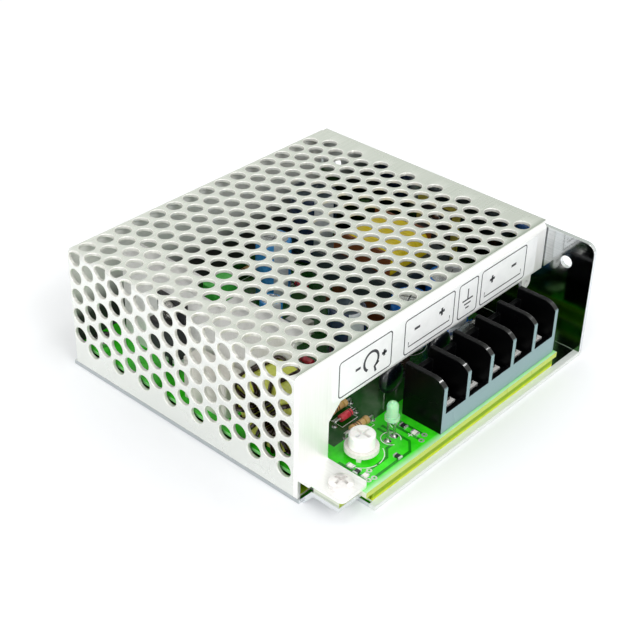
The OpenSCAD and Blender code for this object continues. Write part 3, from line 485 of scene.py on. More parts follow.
track_mask = finish("masked_track", "#0f7a0c", "#1a9a14", (0.16, 0.3), 0.5, coat_weight=0.25,
                    coat_roughness=0.1)
tinned_eye = finish("tinned_eye", "#b4c4b0", "#dfe8dc", (0.2, 0.34), 2.0, metal=0.5)
bm = bmesh.new()
for track in TRACKS:
    ribbon(bm, [Vector((x * MM, y * MM, board_top + TRACK_LIFT)) for x, y in track], TRACK_LINE, UP)
masked = len(bm.faces)
for track in TRACKS:
    end = on_board(Vector(track[0]) * MM)
    ribbon(bm, arc_points(end, EYE_R, 0, 345, count=23), EYE_LINE, UP, closed=True)
paint_new(bm, masked, 1)
piece("board_tracks", bm, [track_mask, tinned_eye], "case")


# Chip parts: small ceramic resistors and capacitors, soldered flat on the board beside the trimmer and
# the lamp. Their tinned ends stand a little proud of the body.
CHIP_SIZE = Vector((2.0, 1.25, 0.6)) * MM
CHIP_END = 0.45 * MM
END_INSET = 0.6
END_PROUD_W = 1.06
END_PROUD_H = 1.08
CHIP_BEVEL = 0.06 * MM
CHIP_SPOTS = ((-37.2, -44.2, 0), (-37.3, -41.8, 0), (-36.8, -39.4, 90), (-26.3, -45.2, 90),
              (-16.4, -42.6, 90), (-16.2, -38.8, 90), (-25.6, -36.4, 0))


def small_block(bm, middle, size, turn, material):
    """Block with broken edges, turned about Z."""
    stand = Matrix.Translation(middle) @ Matrix.Rotation(turn, 4, "Z") @ Matrix.Diagonal((*size, 1))
    verts = bmesh.ops.create_cube(bm, size=1.0, matrix=stand)["verts"]
    edges = list({edge for vert in verts for edge in vert.link_edges})
    bevelled = bmesh.ops.bevel(bm, geom=edges, offset=CHIP_BEVEL, segments=2, profile=0.5, affect="EDGES")
    for face in {face for vert in bevelled["verts"] for face in vert.link_faces}:
        face.material_index = material
        face.tag = True


chip_body = finish("chip_body", "#e4e2da", "#f4f3ee", (0.35, 0.5), 3.0, relief=0.002)
chip_glass = finish("chip_glass", "#15181a", "#24292c", (0.2, 0.35), 3.0, relief=0.002)
chip_end = finish("chip_end", "#c4c8c4", "#e6e9e6", (0.2, 0.34), 2.0, metal=0.6, relief=0.002)
body_size = CHIP_SIZE - Vector((END_INSET * CHIP_END, 0, 0))
end_size = Vector((CHIP_END, CHIP_SIZE.y * END_PROUD_W, CHIP_SIZE.z * END_PROUD_H))
bm = bmesh.new()
for number, (x, y, degrees) in enumerate(CHIP_SPOTS):
    turn = math.radians(degrees)
    seat = Vector((x * MM, y * MM, board_top + CHIP_SIZE.z / 2))
    small_block(bm, seat, body_size, turn, number % 2)
    reach = Vector((math.cos(turn), math.sin(turn), 0)) * (CHIP_SIZE.x - CHIP_END) / 2
    for side in (-1, 1):
        small_block(bm, seat + side * reach, end_size, turn, 2)
piece("chip_parts", bm, [chip_body, chip_glass, chip_end], "case")


# Board screws: pan-head steel screws, nickel plated. They are driven down through the board into the
# standoffs and hold it on them.
nickel = finish("nickel_plated_steel", "#a8a7a2", "#d2d1cc", (0.16, 0.3), 1.5, metal=1.0,
                wear=0.7, edge=0.2, relief=0.0015)
dress(nickel, "pcb_screws")


# Transformer: two cores of sintered ferrite, clipped round a moulded bobbin that stands on the board.
# Its coil is wrapped in yellow film tape.
ferrite = finish("sintered_ferrite", "#232b2d", "#3a4749", (0.35, 0.5), 2.5, wear=0.6,
                 worn="#7d8a8a", relief=0.004)
bobbin_plastic = finish("bobbin_plastic", "#6e3a16", "#8e5024", (0.3, 0.45), 1.5, relief=0.003)
film_tape = finish("yellow_film_tape", "#dcc012", "#f6e13a", (0.18, 0.32), (2.2, 0.05, 0.05), wear=0.3,
                   worn="#fff29a", relief=0.01)
dress(ferrite, "transformer_core")
dress(bobbin_plastic, "transformer_bobbin")
dress(film_tape, "transformer_winding")


# Output choke: yellow-green coated powder ring standing on edge, wound by hand with enamelled wire. Of
# its eighteen turns most lie close together below, and the last few spread over the top.
CHOKE_TURNS = 18
CLOSE_TURNS = 15
CLOSE_SHARE = 0.66
CHOKE_WIRE_R = 0.56 * MM
CORNER_R = 0.75 * MM
CORNER_STEPS = 3
BORE_R = 5.8 * MM
WIRE_GAP = 0.03 * MM
BORE_GAP = 0.05 * MM


def circle(bm, middle, radius, across, other, count):
    """Ring of vertices about a middle, in the plane of two directions."""
    turn = [2 * math.pi * k / count for k in range(count)]
    return [bm.verts.new(middle + radius * (math.cos(a) * across + math.sin(a) * other)) for a in turn]


def tube(bm, points, radius, sides=10, closed=False, material=0):
    """Round wire along points, with its ends capped when it is open."""
    rings = []
    side = None
    for i, point in enumerate(points):
        before = points[i - 1] if i or closed else point
        after = points[(i + 1) % len(points)] if i + 1 < len(points) or closed else point
        ahead = (after - before).normalized()
        side = ahead.orthogonal() if side is None else side - ahead * side.dot(ahead)
        side.normalize()
        rings.append(circle(bm, point, radius, side, ahead.cross(side), sides))
    loops = [] if closed else [rings[0], rings[-1]]
    for i in range(len(rings) if closed else len(rings) - 1):
        near, far = rings[i], rings[(i + 1) % len(rings)]
        for k in range(sides):
            n = (k + 1) % sides
            loops.append((near[k], near[n], far[n], far[k]))
    for loop in loops:
        face = bm.faces.new(loop)
        face.material_index = material
        face.tag = True


powder_core = finish("coated_powder_core", "#d2da4a", "#eaf07a", (0.3, 0.45), 1.2, wear=0.4,
                     worn="#8d8f52", relief=0.006)
enamel_wire = finish("enamelled_copper", "#1c100a", "#38200f", (0.18, 0.3), 0.6, metal=0.5,
                     coat_weight=0.5, coat_roughness=0.12)
dress(powder_core, "output_choke_core")
low, high = (Vector(c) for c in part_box("output_choke_core"))
ring_half_w = (high.x - low.x) / 2
ring_r = (high.z - low.z) / 2


def choke_section():
    """Rounded loop of the wire's centre line round the ring's section, as (radius, x) points."""
    reach = CHOKE_WIRE_R + WIRE_GAP
    outer = ring_r + reach - CORNER_R
    inner = BORE_R - reach - BORE_GAP + CORNER_R
    side = ring_half_w + reach - CORNER_R
    points = []
    for radius, x, start in ((outer, side, 0), (inner, side, 90), (inner, -side, 180), (outer, -side, 270)):
        for k in range(CORNER_STEPS + 1):
            a = math.radians(start + 90 * k / CORNER_STEPS)
            points.append((radius + CORNER_R * math.cos(a), x + CORNER_R * math.sin(a)))
    return points


def turn_angle(turn):
    """Angle of a turn round the ring: most of them close together below, a few over the top."""
    if turn < CLOSE_TURNS:
        share = CLOSE_SHARE * turn / CLOSE_TURNS
    else:
        share = CLOSE_SHARE + (1 - CLOSE_SHARE) * (turn - CLOSE_TURNS) / (CHOKE_TURNS - CLOSE_TURNS)
    return 2 * math.pi * (share - CLOSE_SHARE / 2) - math.pi / 2


section = choke_section()
path = []
for turn in range(CHOKE_TURNS):
    for k, (radius, x) in enumerate(section):
        angle = turn_angle(turn + k / len(section))
        path.append((low + high) / 2 + Vector((x, radius * math.cos(angle), radius * math.sin(angle))))
bm = bmesh.new()
tube(bm, path, CHOKE_WIRE_R, closed=True)
piece("choke_turns", bm, [enamel_wire], "case", ["output_choke_winding"], smooth=60)


# Input choke: small ferrite drum that stands on the board, with its enamelled wire wound in level layers
# between the two rims.
WIRE_LAYER = 0.7 * MM
LAYER_STEPS = 6


def turned(bm, axis_point, profile, along=UP, segments=32, material=0):
    """Revolves (radius, height) points about an axis; a third number picks the ring's material."""
    across = along.orthogonal().normalized()
    other = along.cross(across)
    rings = []
    for radius, height, *_ in profile:
        base = axis_point + along * height
        rings.append(circle(bm, base, radius, across, other, segments) if radius else [bm.verts.new(base)])
    for i in range(len(rings) - 1):
        near, far = rings[i], rings[i + 1]
        pick = profile[i + 1][2] if len(profile[i + 1]) > 2 else material
        for k in range(segments):
            n = (k + 1) % segments
            loop = [near[k % len(near)], near[n % len(near)], far[n % len(far)], far[k % len(far)]]
            face = bm.faces.new(dict.fromkeys(loop))
            face.material_index = pick
            face.tag = True


drum_ferrite = finish("drum_ferrite", "#2a2c30", "#43464b", (0.35, 0.5), 2.5, wear=0.6,
                      worn="#7d8084", relief=0.004)
dress(drum_ferrite, "input_choke_core")
low, high = (Vector(c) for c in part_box("input_choke_winding"))
drum_foot = Vector(((low.x + high.x) / 2, (low.y + high.y) / 2, low.z))
coil_r = (high.x - low.x) / 2
layers = round((high.z - low.z) / WIRE_LAYER)
pitch = (high.z - low.z) / layers
profile = [(coil_r - pitch, 0)]
for layer in range(layers):
    for k in range(LAYER_STEPS + 1):
        a = math.pi * k / LAYER_STEPS
        radius = coil_r - pitch / 2 + pitch / 2 * math.sin(a)
        profile.append((radius, pitch * (layer + 0.5) - pitch / 2 * math.cos(a)))
profile.append((coil_r - pitch, high.z - low.z))
bm = bmesh.new()
turned(bm, drum_foot, profile)
piece("drum_coil", bm, [enamel_wire], "case", ["input_choke_winding"], smooth=50)


# Electrolytic capacitors: drawn aluminium cans crimped over a rubber plug, in printed shrink sleeves
# that roll over the rim and leave the scored top bare. They stand on the board.
SLEEVE_T = 0.25 * MM
PLUG_DEPTH = 0.3 * MM
RIM_SHARE = 0.14
LIP_SHARE = 0.8
CRIMP = ((1, 0.26), (0.92, 0.36), (0.92, 0.42), (1, 0.54))
WALL_SHARES = (0.9, 1.1)
STRIPE_PLACE = -0.6
STRIPE_SHARE = 0.16
VENT_LINE = 0.35 * MM
VENT_SHARE = 0.72
VENT_TURN = 0.4

can_top = finish("bare_can_top", "#c3c6ca", "#e4e6e8", (0.2, 0.35), 0.8, metal=1.0, wear=0.3)
dark_top = finish("dark_can_top", "#2c3a44", "#475862", (0.3, 0.45), 0.8, metal=0.8, wear=0.3)
stripe_ink = finish("sleeve_stripe", "#cfd6dc", "#e8edf0", (0.25, 0.4), 1.0)
vent_score = finish("vent_score", "#5c5f63", "#83868a", (0.35, 0.5), 1.0, metal=1.0)


def sleeve(name, dark, light):
    """Glossy shrink sleeve of one colour."""
    return finish(name, dark, light, (0.16, 0.28), 0.5, relief=0.004, coat_weight=0.4,
                  coat_roughness=0.1)


def print_stripe(bm, foot, r):
    """Pale stripe down one side of the sleeve of a can."""
    for face in bm.faces:
        spot = face.calc_center_median() - foot
        around = math.atan2(spot.y, spot.x) / math.pi
        outside = WALL_SHARES[0] * r < spot.to_2d().length < WALL_SHARES[1] * r
        if outside and abs(around - STRIPE_PLACE) < STRIPE_SHARE and face.material_index == 0:
            face.material_index = 2


def stand_cans(name, node, wrap, lid):
    """Sleeved cans with their lids in the places of a node's solids."""
    bm = bmesh.new()
    for low, high in solids_of(node):
        foot = Vector(((low.x + high.x) / 2, (low.y + high.y) / 2, low.z))
        r = (high.x - low.x) / 2
        h = high.z - low.z
        rim = RIM_SHARE * r
        lip = LIP_SHARE * r
        wall = [(0, PLUG_DEPTH), (lip, PLUG_DEPTH), (lip, 0), (r - rim, 0), (r, rim)]
        wall += [(width * r, height * r) for width, height in CRIMP]
        wall += [(r, h - rim), (r - 0.3 * rim, h - 0.3 * rim), (r - rim, h), (lip, h)]
        top = [(lip, h - SLEEVE_T, 1), (0, h - SLEEVE_T, 1)]
        turned(bm, foot, wall + top, segments=40)
        print_stripe(bm, foot, r)
        cross = foot + UP * (h - SLEEVE_T + INK_LIFT)
        plain = len(bm.faces)
        for a in (VENT_TURN, VENT_TURN + math.pi / 2):
            arm = Vector((math.cos(a), math.sin(a), 0)) * lip * VENT_SHARE
            ribbon(bm, [cross - arm, cross + arm], VENT_LINE, UP)
        paint_new(bm, plain, 3)
    piece(name, bm, [wrap, lid, stripe_ink, vent_score], "case", [node], smooth=35)


blue_sleeve = sleeve("blue_sleeve", "#1b66cc", "#3d96ee")
dark_sleeve = sleeve("dark_sleeve", "#1b2740", "#2c3d5e")
azure_sleeve = sleeve("azure_sleeve", "#2a86de", "#5cb6fa")
stand_cans("input_cans", "input_capacitors", blue_sleeve, can_top)
stand_cans("output_cans", "output_capacitors", dark_sleeve, dark_top)
stand_cans("aux_cans", "aux_capacitors", azure_sleeve, can_top)


# Disc, film and moulded capacitors: ceramic discs dipped in dark blue lacquer, painted near black as
# shade, a cream potted box and a green dipped body, each soldered in on two wires.
DISC_LEAD_X = 2.5 * MM
DISC_LEAD_R = 0.3 * MM
DISC_FORM = ((0, 1), (0.55, 0.95), (0.82, 0.72), (0.96, 0.36))


def dip(name, dark, light):
    """Uneven glossy coat of a dipped part."""
    return finish(name, dark, light, (0.2, 0.35), 0.8, relief=0.02, coat_weight=0.5)


# The dip's dark blue is painted near black as shade.
shaded_blue_dip = dip("shaded_blue_dip", "#05080d", "#0b1119")
green_dip = dip("green_dip", "#34c03e", "#62e25e")
cream_case = finish("cream_case", "#efece2", "#f9f7f0", (0.4, 0.55), 2.0, relief=0.003)
lead_tin = finish("tinned_lead", "#b9bab6", "#dcdcd6", (0.2, 0.35), (0.5, 0.5, 3.0), metal=1.0)
dress(cream_case, "film_capacitor")
dress(green_dip, "green_capacitor")
bm = bmesh.new()
for low, high in solids_of("disc_capacitors"):
    r = (high.x - low.x) / 2
    half_t = (high.y - low.y) / 2
    middle = Vector(((low.x + high.x) / 2, (low.y + high.y) / 2, high.z - r))
    front = [(share * r, -height * half_t) for share, height in DISC_FORM]
    back = [(radius, -height) for radius, height in reversed(front)]
    turned(bm, middle, front + [(r, 0)] + back, along=ALONG_Y, segments=36)
    for side in (-1, 1):
        top = middle + Vector((side * DISC_LEAD_X, 0, -0.6 * r))
        foot = Vector((top.x, top.y, low.z))
        tube(bm, [foot, foot.lerp(top, 0.6), top], DISC_LEAD_R, material=1)
piece("dipped_discs", bm, [shaded_blue_dip, lead_tin], "case", ["disc_capacitors"], smooth=50)


# Rectifier heatsink: mill-finish aluminium plate with folded flanges, standing on the board,
# with the output rectifier screwed flat to it.
mill_sheet = finish("mill_finish_sheet", "#f1f1ee", "#fcfcfa", (0.35, 0.5), (0.05, 2.0, 2.0), metal=0.1,
                    wear=0.5, relief=0.002)
package_epoxy = finish("package_epoxy", "#17181a", "#26282b", (0.4, 0.55), 2.0, wear=0.4,
                       worn="#55585c", dust=0.2, relief=0.004)
dress(mill_sheet, "rectifier_heatsink")
dress(package_epoxy, "output_rectifier")
dress(nickel, "rectifier_screw")


# Switching transistor: moulded power package on an olive insulating pad, screwed to the right wall,
# which cools it.
pad_rubber = finish("insulating_pad", "#b8ac3c", "#dccf5c", (0.5, 0.7), 2.0, relief=0.005)
dress(package_epoxy, "switching_transistor")
dress(pad_rubber, "transistor_pad")
dress(nickel, "transistor_screw")


# Control parts: the black control circuit and a white optocoupler, both moulded in epoxy and soldered
# to the board.
white_epoxy = finish("white_epoxy", "#dad7cb", "#eeebe2", (0.4, 0.55), 2.0, relief=0.004)
dress(package_epoxy, "controller_ic")
dress(white_epoxy, "optocoupler")


# Resistors and diodes: lacquered and glass bodies with colour rings, lying on the board between bent
# leads that go down into solder.
RESISTOR = (1.15 * MM, 6.2 * MM, 0.3 * MM)
RESISTOR_RINGS = ((-0.62, 1), (-0.36, 2), (-0.1, 1), (0.5, 3))
DIODE = (1.0 * MM, 4.2 * MM, 0.28 * MM)
DIODE_RINGS = ((0.56, 2),)
RING_HALF = 0.06
NECK_SHARE = 0.88
NECK_REACH = 0.55
BODY_END = ((0, 1), (0.7, 1), (0.97, 0.92), (1, 0.75))
KNEE = ((0.5, 0), (0.15, 0.04), (0.03, 0.16), (0, 0.5))
LEAD_ROOT = 0.98
SOLDER_FORM = ((1, 0), (0.62, 0.14), (0.4, 0.45), (0.3, 1), (0, 1))
SOLDER_W = 2.6
SOLDER_H = 2.4

tan_lacquer = finish("tan_lacquer", "#c49a5c", "#dcb87c", (0.2, 0.35), 1.0, coat_weight=0.4)
brown_ring = finish("brown_ring", "#5a2f18", "#7a4526", (0.25, 0.35), 1.0)
black_ring = finish("black_ring", "#141414", "#262626", (0.25, 0.35), 1.0)
gold_ring = finish("gold_ring", "#a8842c", "#cda648", (0.25, 0.35), 1.0, metal=0.6)
red_glass = finish("red_glass_body", "#c02438", "#e8505c", (0.1, 0.2), 0.6, coat_weight=0.7)
solder = finish("solder", "#9fa19f", "#cfd0cc", (0.18, 0.32), 1.5, metal=1.0, relief=0.003)


def solder_cone(bm, foot, radius, height, material):
    """Small concave fillet of solder round a lead."""
    curve = [(width * radius, up * height) for width, up in SOLDER_FORM]
    turned(bm, foot, curve, segments=16, material=material)


def lay_axial(bm, low, high, body_r, body_l, lead_r, rings):
    """Lacquered body with rings, its leads bent down to the board, and their solder."""
    half = (high - low) / 2
    along = lying_axis(half)
    axis = Vector(((low.x + high.x) / 2, (low.y + high.y) / 2, high.z - body_r))
    half_l = body_l / 2
    end = [(width * body_r, reach * half_l) for width, reach in BODY_END]
    profile = [(radius, -height) for radius, height in end]
    for at, pick in rings:
        radius = NECK_SHARE * body_r if abs(at) < NECK_REACH else body_r
        profile += [(radius, (at - RING_HALF) * half_l, 0), (radius, (at + RING_HALF) * half_l, pick)]
    turned(bm, axis, profile + end[::-1], along=along, segments=24)
    for side in (-1, 1):
        out = along * side
        bend = axis + out * (max(half.x, half.y) - lead_r)
        foot = Vector((bend.x, bend.y, low.z))
        knee = [bend - out * back * MM - UP * down * MM for back, down in KNEE]
        tube(bm, [axis + out * half_l * LEAD_ROOT] + knee + [foot], lead_r, material=4)
        solder_cone(bm, foot, SOLDER_W * lead_r, SOLDER_H * lead_r, 5)


def lay_parts(name, node, size, rings, body):
    """Lying parts of one kind in the places of a node's solids."""
    bm = bmesh.new()
    for low, high in solids_of(node):
        lay_axial(bm, low, high, *size, rings)
    materials = [body, brown_ring, black_ring, gold_ring, lead_tin, solder]
    piece(name, bm, materials, "case", [node], smooth=40)


lay_parts("lacquered_resistors", "resistors_axial", RESISTOR, RESISTOR_RINGS, tan_lacquer)
lay_parts("glass_diodes", "diodes_axial", DIODE, DIODE_RINGS, red_glass)


# Fuse: clear drawn-glass tube with its fine wire inside, closed by nickel-plated caps, whose leads are
# bent down and soldered into the board.
CAP_L = 3.0 * MM
CAP_T = 0.2 * MM
CAP_EDGE = 0.3 * MM
TUBE_WALL = 0.5 * MM
TUBE_HALF = 6.5 * MM
FUSE_LEAD_R = 0.35 * MM
FUSE_SOLDER = (0.95 * MM, 0.9 * MM)
FUSE_WIRE_R = 0.06 * MM
FUSE_WIRE_SAG = 0.2 * MM

clear_glass = finish("clear_fuse_glass", "#eef3f0", "#f8fbf9", (0.02, 0.05), 0.3,
                     transmission_weight=0.95, ior=1.47)
low, high = (Vector(c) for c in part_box("fuse"))
cap_r = (high.y - low.y) / 2
glass_r = cap_r - CAP_T
bore_r = glass_r - TUBE_WALL
axis = Vector(((low.x + high.x) / 2, (low.y + high.y) / 2, high.z - cap_r))
glass = [(bore_r, -TUBE_HALF), (glass_r, -TUBE_HALF), (glass_r, TUBE_HALF), (bore_r, TUBE_HALF)]
bm = bmesh.new()
turned(bm, axis, glass + [glass[0]], along=ALONG_X)
for side in (-1, 1):
    outer = side * TUBE_HALF
    inner = side * (TUBE_HALF - CAP_L)
    cap = [(glass_r, inner), (cap_r, inner), (cap_r, outer - side * CAP_EDGE), (cap_r - CAP_EDGE, outer)]
    turned(bm, axis, cap + [(0, outer)], along=ALONG_X, material=1)
    bend = Vector((low.x + FUSE_LEAD_R if side < 0 else high.x - FUSE_LEAD_R, axis.y, axis.z))
    foot = Vector((bend.x, bend.y, low.z))
    lead = [axis + ALONG_X * outer, bend - ALONG_X * side * CAP_EDGE, bend - UP * CAP_EDGE, foot]
    tube(bm, lead, FUSE_LEAD_R, material=1)
    solder_cone(bm, foot, *FUSE_SOLDER, 2)
wire = [axis - ALONG_X * TUBE_HALF, axis - UP * FUSE_WIRE_SAG, axis + ALONG_X * TUBE_HALF]
tube(bm, wire, FUSE_WIRE_R, material=1)
piece("glass_fuse", bm, [clear_glass, nickel, solder], "case", ["fuse"], smooth=40)


# Indicator lamp: pale green tinted resin, cast round the tops of two square tinned leads, which stand
# in solder on the board.
LAMP_SOLDER = (1.0 * MM, 0.9 * MM)
lens_resin = finish("green_lamp_resin", "#a6ecb2", "#c8f7cd", (0.06, 0.12), 0.5,
                    transmission_weight=0.35, ior=1.5, subsurface_weight=0.4, subsurface_scale=0.002)
dress(lens_resin, "led_lens")
dress(lead_tin, "led_leads")
bm = bmesh.new()
for low, high in solids_of("led_leads"):
    solder_cone(bm, on_board((low + high) / 2) - UP * INK_LIFT, *LAMP_SOLDER, 0)
piece("lamp_solder", bm, [solder], "case", smooth=60)


# Trimmer: white moulded rotor on a ceramic base that is soldered to the board. The rotor is turned with
# a screwdriver in its crossed slot.
ceramic_base = finish("trimmer_ceramic", "#dedbd2", "#f1efe9", (0.3, 0.45), 1.5, dust=0.1,
                      relief=0.003)
white_rotor = finish("white_rotor", "#f4f3ee", "#fdfdfb", (0.2, 0.35), 1.2, edge=0.3, wear=0.3,
                     relief=0.002, subsurface_weight=0.1, subsurface_scale=0.001)
dress(ceramic_base, "trimmer_body")
dress(white_rotor, "trimmer_rotor")


# Terminal block: black moulding with curved barriers between five bays, soldered to the board. A painted
# reflection gives a paler sheen to the band below the sills and to the front edges of the barriers.
BLOCK_PAINTED_SHEEN = "#8aa5a8"
PAINTED_SHEEN_DEPTH = 0.3
CURVE_GLOSS = 0.6
block_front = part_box("terminal_housing")[0][1] / MM


def block_layers(tree, colour):
    """Painted reflection: pale sheen on the faces that look to the front, at the front of the block only."""
    near = rise(tree, spot_of(tree)["Y"], block_front + PAINTED_SHEEN_DEPTH, block_front)
    ahead = sums(tree, "MULTIPLY", facing_of(tree)["Y"], -1.0)
    return blend(tree, sums(tree, "MULTIPLY", near, ahead), colour, tint(BLOCK_PAINTED_SHEEN))


block_plastic = finish("black_block_plastic", "#020203", "#060607", (0.24, 0.36), 1.5, edge=0.5,
                       wear=0.06, worn="#55625f", relief=0.003, paint=block_layers, specular_ior_level=0.12,
                       coat_roughness=0.12, coat_ior=2.2)
tree = block_plastic.node_tree
facing = facing_of(tree)
curve = sums(tree, "MULTIPLY", sums(tree, "MULTIPLY", facing["Y"], -CURVE_GLOSS), facing["Z"])
tree.links.new(curve, tree.nodes["Principled BSDF"].inputs["Coat Weight"])
dress(block_plastic, "terminal_housing")


# Contact strips, clamps and screws: tin-plated stampings in the bays, each with a square clamp that its
# nickel-plated screw presses on the wire.
POLES = 5
tin_plate = finish("tin_plate", "#f6f6f2", "#fdfdfb", (0.25, 0.4), (0.4, 2.5, 0.4), metal=0.1, wear=0.6,
                   edge=0.2, relief=0.002)
# Nickel painted dark as the shade in the bays.
shaded_nickel = finish("shaded_nickel", "#4c4b48", "#77756f", (0.22, 0.36), 1.5, metal=1.0, wear=0.5,
                     edge=0.2, relief=0.0015)
dress(tin_plate, "terminal_strips")
for pole in range(1, POLES + 1):
    dress(shaded_nickel, f"clamp_washer_{pole}", f"terminal_screw_{pole}")


# Cover: satin aluminium sheet, punched all over with round holes in staggered rows and then folded, so
# the rows run on through the left bend. The punch draws each rim in a little and leaves it burnished.
# The front fold carries flange, corner strip and screw tab, and the back fold closes the case.
SHEET_T = 1.0
FOLD_R = 1.4
BACK_FOLD_R = 1.25
FOLD_STEPS = 10
VENT_R = 2.2
VENT_PITCH = 6.04
VENT_X = -41.98
VENT_Z = 32.0
TOP_VENTS = 15
ROW_PITCH = 4.9
FIRST_ROW = -29.5
ROWS = 16
RIM = ((VENT_R + 0.2, 0), (VENT_R + 0.08, 0.03), (VENT_R, 0.15), (VENT_R, 0.85), (VENT_R + 0.1, SHEET_T))
CELL_STEPS = 4
RIM_STEPS = 6 * CELL_STEPS
RIM_START = -150
FLANGE_RIGHT = 47.8
FLANGE_LOW = 22.3
FLANGE_CHAMFER = 4.0
STRIP_LEFT = -49.3
STRIP_RIGHT = -39.0
LUG_X = 40.8
LUG_Z = 20.7
LUG_R = 2.0
LUG_HOLE_R = 0.8
TAB_Z = 8.0
TAB_LEFT = -48.5
TAB_STEP = 3.0
TAB_CORNER = 1.5
TAB_HOLE = (-44.2, -42.8, 1.6)
BACK_LEFT = -48.4
# Painted shade: a duller tone along the front fold of the top.
FOLD_SHADE_SHEET = "#c2c8be"
FOLD_SHADE_FROM = 1.5
FOLD_SHADE_FULL = 2.8
# Painted light: a paler tone for the faces of the left wall.
SIDE_LIT_SHEET = "#eceee9"
# Painted shade low on the back wall's inner face.
LINING_SHADE = "#30322e"
LINING_LIT_Z = 22.0
LINING_SHADOW_Z = 14.0
SATIN, BURNISHED, FRONT, INNER, LINING = range(5)


def sheet_layers(tree, colour):
    """Painted shade as a duller tone along the front fold of the top, and a paler left wall painted as
    light.
    """
    facing = facing_of(tree)
    rubbed_and_fold_shade = rise(tree, spot_of(tree)["Y"], FIRST_ROW - FOLD_SHADE_FROM, FIRST_ROW - FOLD_SHADE_FULL)
    colour = blend(tree, sums(tree, "MULTIPLY", rubbed_and_fold_shade, facing["Z"]), colour, tint(FOLD_SHADE_SHEET))
    return blend(tree, sums(tree, "MULTIPLY", facing["X"], -1.0), colour, tint(SIDE_LIT_SHEET))


def lining_layers(tree, colour):
    """Painted shade that darkens the lower part of the back wall's inner face."""
    dull_and_shaded = rise(tree, spot_of(tree)["Z"], LINING_LIT_Z, LINING_SHADOW_Z)
    return blend(tree, dull_and_shaded, colour, tint(LINING_SHADE))


satin_sheet = finish("satin_punched_sheet", "#e4e6e0", "#f0f1ec", (0.2, 0.32), (0.06, 2.5, 2.5), metal=1.0,
                     wear=0.7, worn="#fcfcfa", relief=0.0008, smear=0.08, paint=sheet_layers)
burnished_rim = finish("burnished_rim", "#e4e4dd", "#f6f6f0", (0.32, 0.5), 1.5, metal=0.45,
                       wear=0.5, worn="#fcfcfa", edge=0.12)
front_sheet = finish("satin_front_sheet", "#f1f1ee", "#fafaf8", (0.34, 0.46), (2.5, 0.06, 0.06), metal=0.45,
                     wear=0.5, worn="#fdfdfc", relief=0.0006)
# The cover's inner face is painted near black as shade.
shaded_inner_sheet = finish("shaded_inner_face", "#2c2c2a", "#42423e", (0.55, 0.7), (0.3, 1.5, 1.5), metal=0.3)
back_lining = finish("bare_back_face", "#f0f2ec", "#fcfcf8", (0.4, 0.55), (0.06, 2.5, 2.5), metal=0.1,
                     paint=lining_layers)

low, high = (Vector(c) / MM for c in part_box("cover"))
flange_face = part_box("terminal_label")[1][1] / MM
roof = high.z
fold_z = roof - FOLD_R
front_line = flange_face + FOLD_R
back_line = high.y - BACK_FOLD_R
lining_y = high.y - SHEET_T
fold_start = high.x - low.x - FOLD_R
fold_end = fold_start + FOLD_R * math.pi / 2
flange_end = high.x - FLANGE_RIGHT
sheet_end = fold_end + fold_z - low.z


def folded(along, across, depth):
    """Point of the flat sheet after the left fold: along it from the right edge, across it, into it."""
    if along <= fold_start:
        return Vector((high.x - along, across, roof - depth))
    if along >= fold_end:
        return Vector((low.x + depth, across, fold_z - (along - fold_end)))
    a = (along - fold_start) / FOLD_R
    reach = FOLD_R - depth
    return Vector((low.x + FOLD_R - reach * math.sin(a), across, fold_z + reach * math.cos(a)))


def vent_row(shift, side_count):
    """Places of one row's holes along the flat sheet: top, bend, left side."""
    top = [high.x - (VENT_X - shift) - VENT_PITCH * k for k in reversed(range(TOP_VENTS))]
    side = [fold_end + fold_z - (VENT_Z - shift) + VENT_PITCH * k for k in range(side_count)]
    return top + [(top[-1] + side[0]) / 2] + side


even_row = vent_row(0.0, 5)
odd_row = vent_row(VENT_PITCH / 2, 4)
stations = [0.0] + sorted(even_row + odd_row) + [sheet_end]
lines = [front_line] + [FIRST_ROW + ROW_PITCH * (r + 0.5) for r in range(ROWS - 1)] + [back_line]
rim_turn = [math.radians(RIM_START + 360 * k / RIM_STEPS) for k in range(RIM_STEPS)]
bm = bmesh.new()
flat_spots = {}


def flat_spot(along, across, depth):
    """Vertex of the flat sheet, shared by the cells that meet there."""
    key = (round(along, 4), round(across, 4), depth)
    if key not in flat_spots:
        flat_spots[key] = bm.verts.new((along, across, depth))
    return flat_spots[key]


def cell_edge(a, b, v0, v1, middle=None):
    """Points round a cell of the sheet, evenly spaced between its stations."""
    runs = [(a, b)] if middle is None else [(a, middle), (middle, b)]
    steps = [k / CELL_STEPS for k in range(CELL_STEPS)]
    near = [(p + (q - p) * step, v0) for p, q in runs for step in steps]
    right = [(b, v0 + (v1 - v0) * step) for step in steps]
    far = [(p + (q - p) * step, v1) for q, p in reversed(runs) for step in steps]
    left = [(a, v1 + (v0 - v1) * step) for step in steps]
    return near + right + far + left


def punch_cell(along, across, v0, v1):
    """Cell of the sheet round one hole, on both faces, with the drawn-in rim between them."""
    i = stations.index(along)
    edge = cell_edge(stations[i - 1], stations[i + 1], v0, v1, along)
    rings = [[flat_spot(*p, 0) for p in edge]]
    for radius, depth in RIM:
        spots = [(along + radius * math.cos(a), across + radius * math.sin(a), depth) for a in rim_turn]
        rings.append([bm.verts.new(spot) for spot in spots])
    rings.append([flat_spot(*p, SHEET_T) for p in edge])
    finishes = [SATIN] + [BURNISHED] * (len(rings) - 3) + [INNER]
    for near, far, finish_index in zip(rings, rings[1:], finishes):
        for k in range(RIM_STEPS):
            n = (k + 1) % RIM_STEPS
            face = bm.faces.new((near[k], near[n], far[n], far[k]))
            face.material_index = finish_index


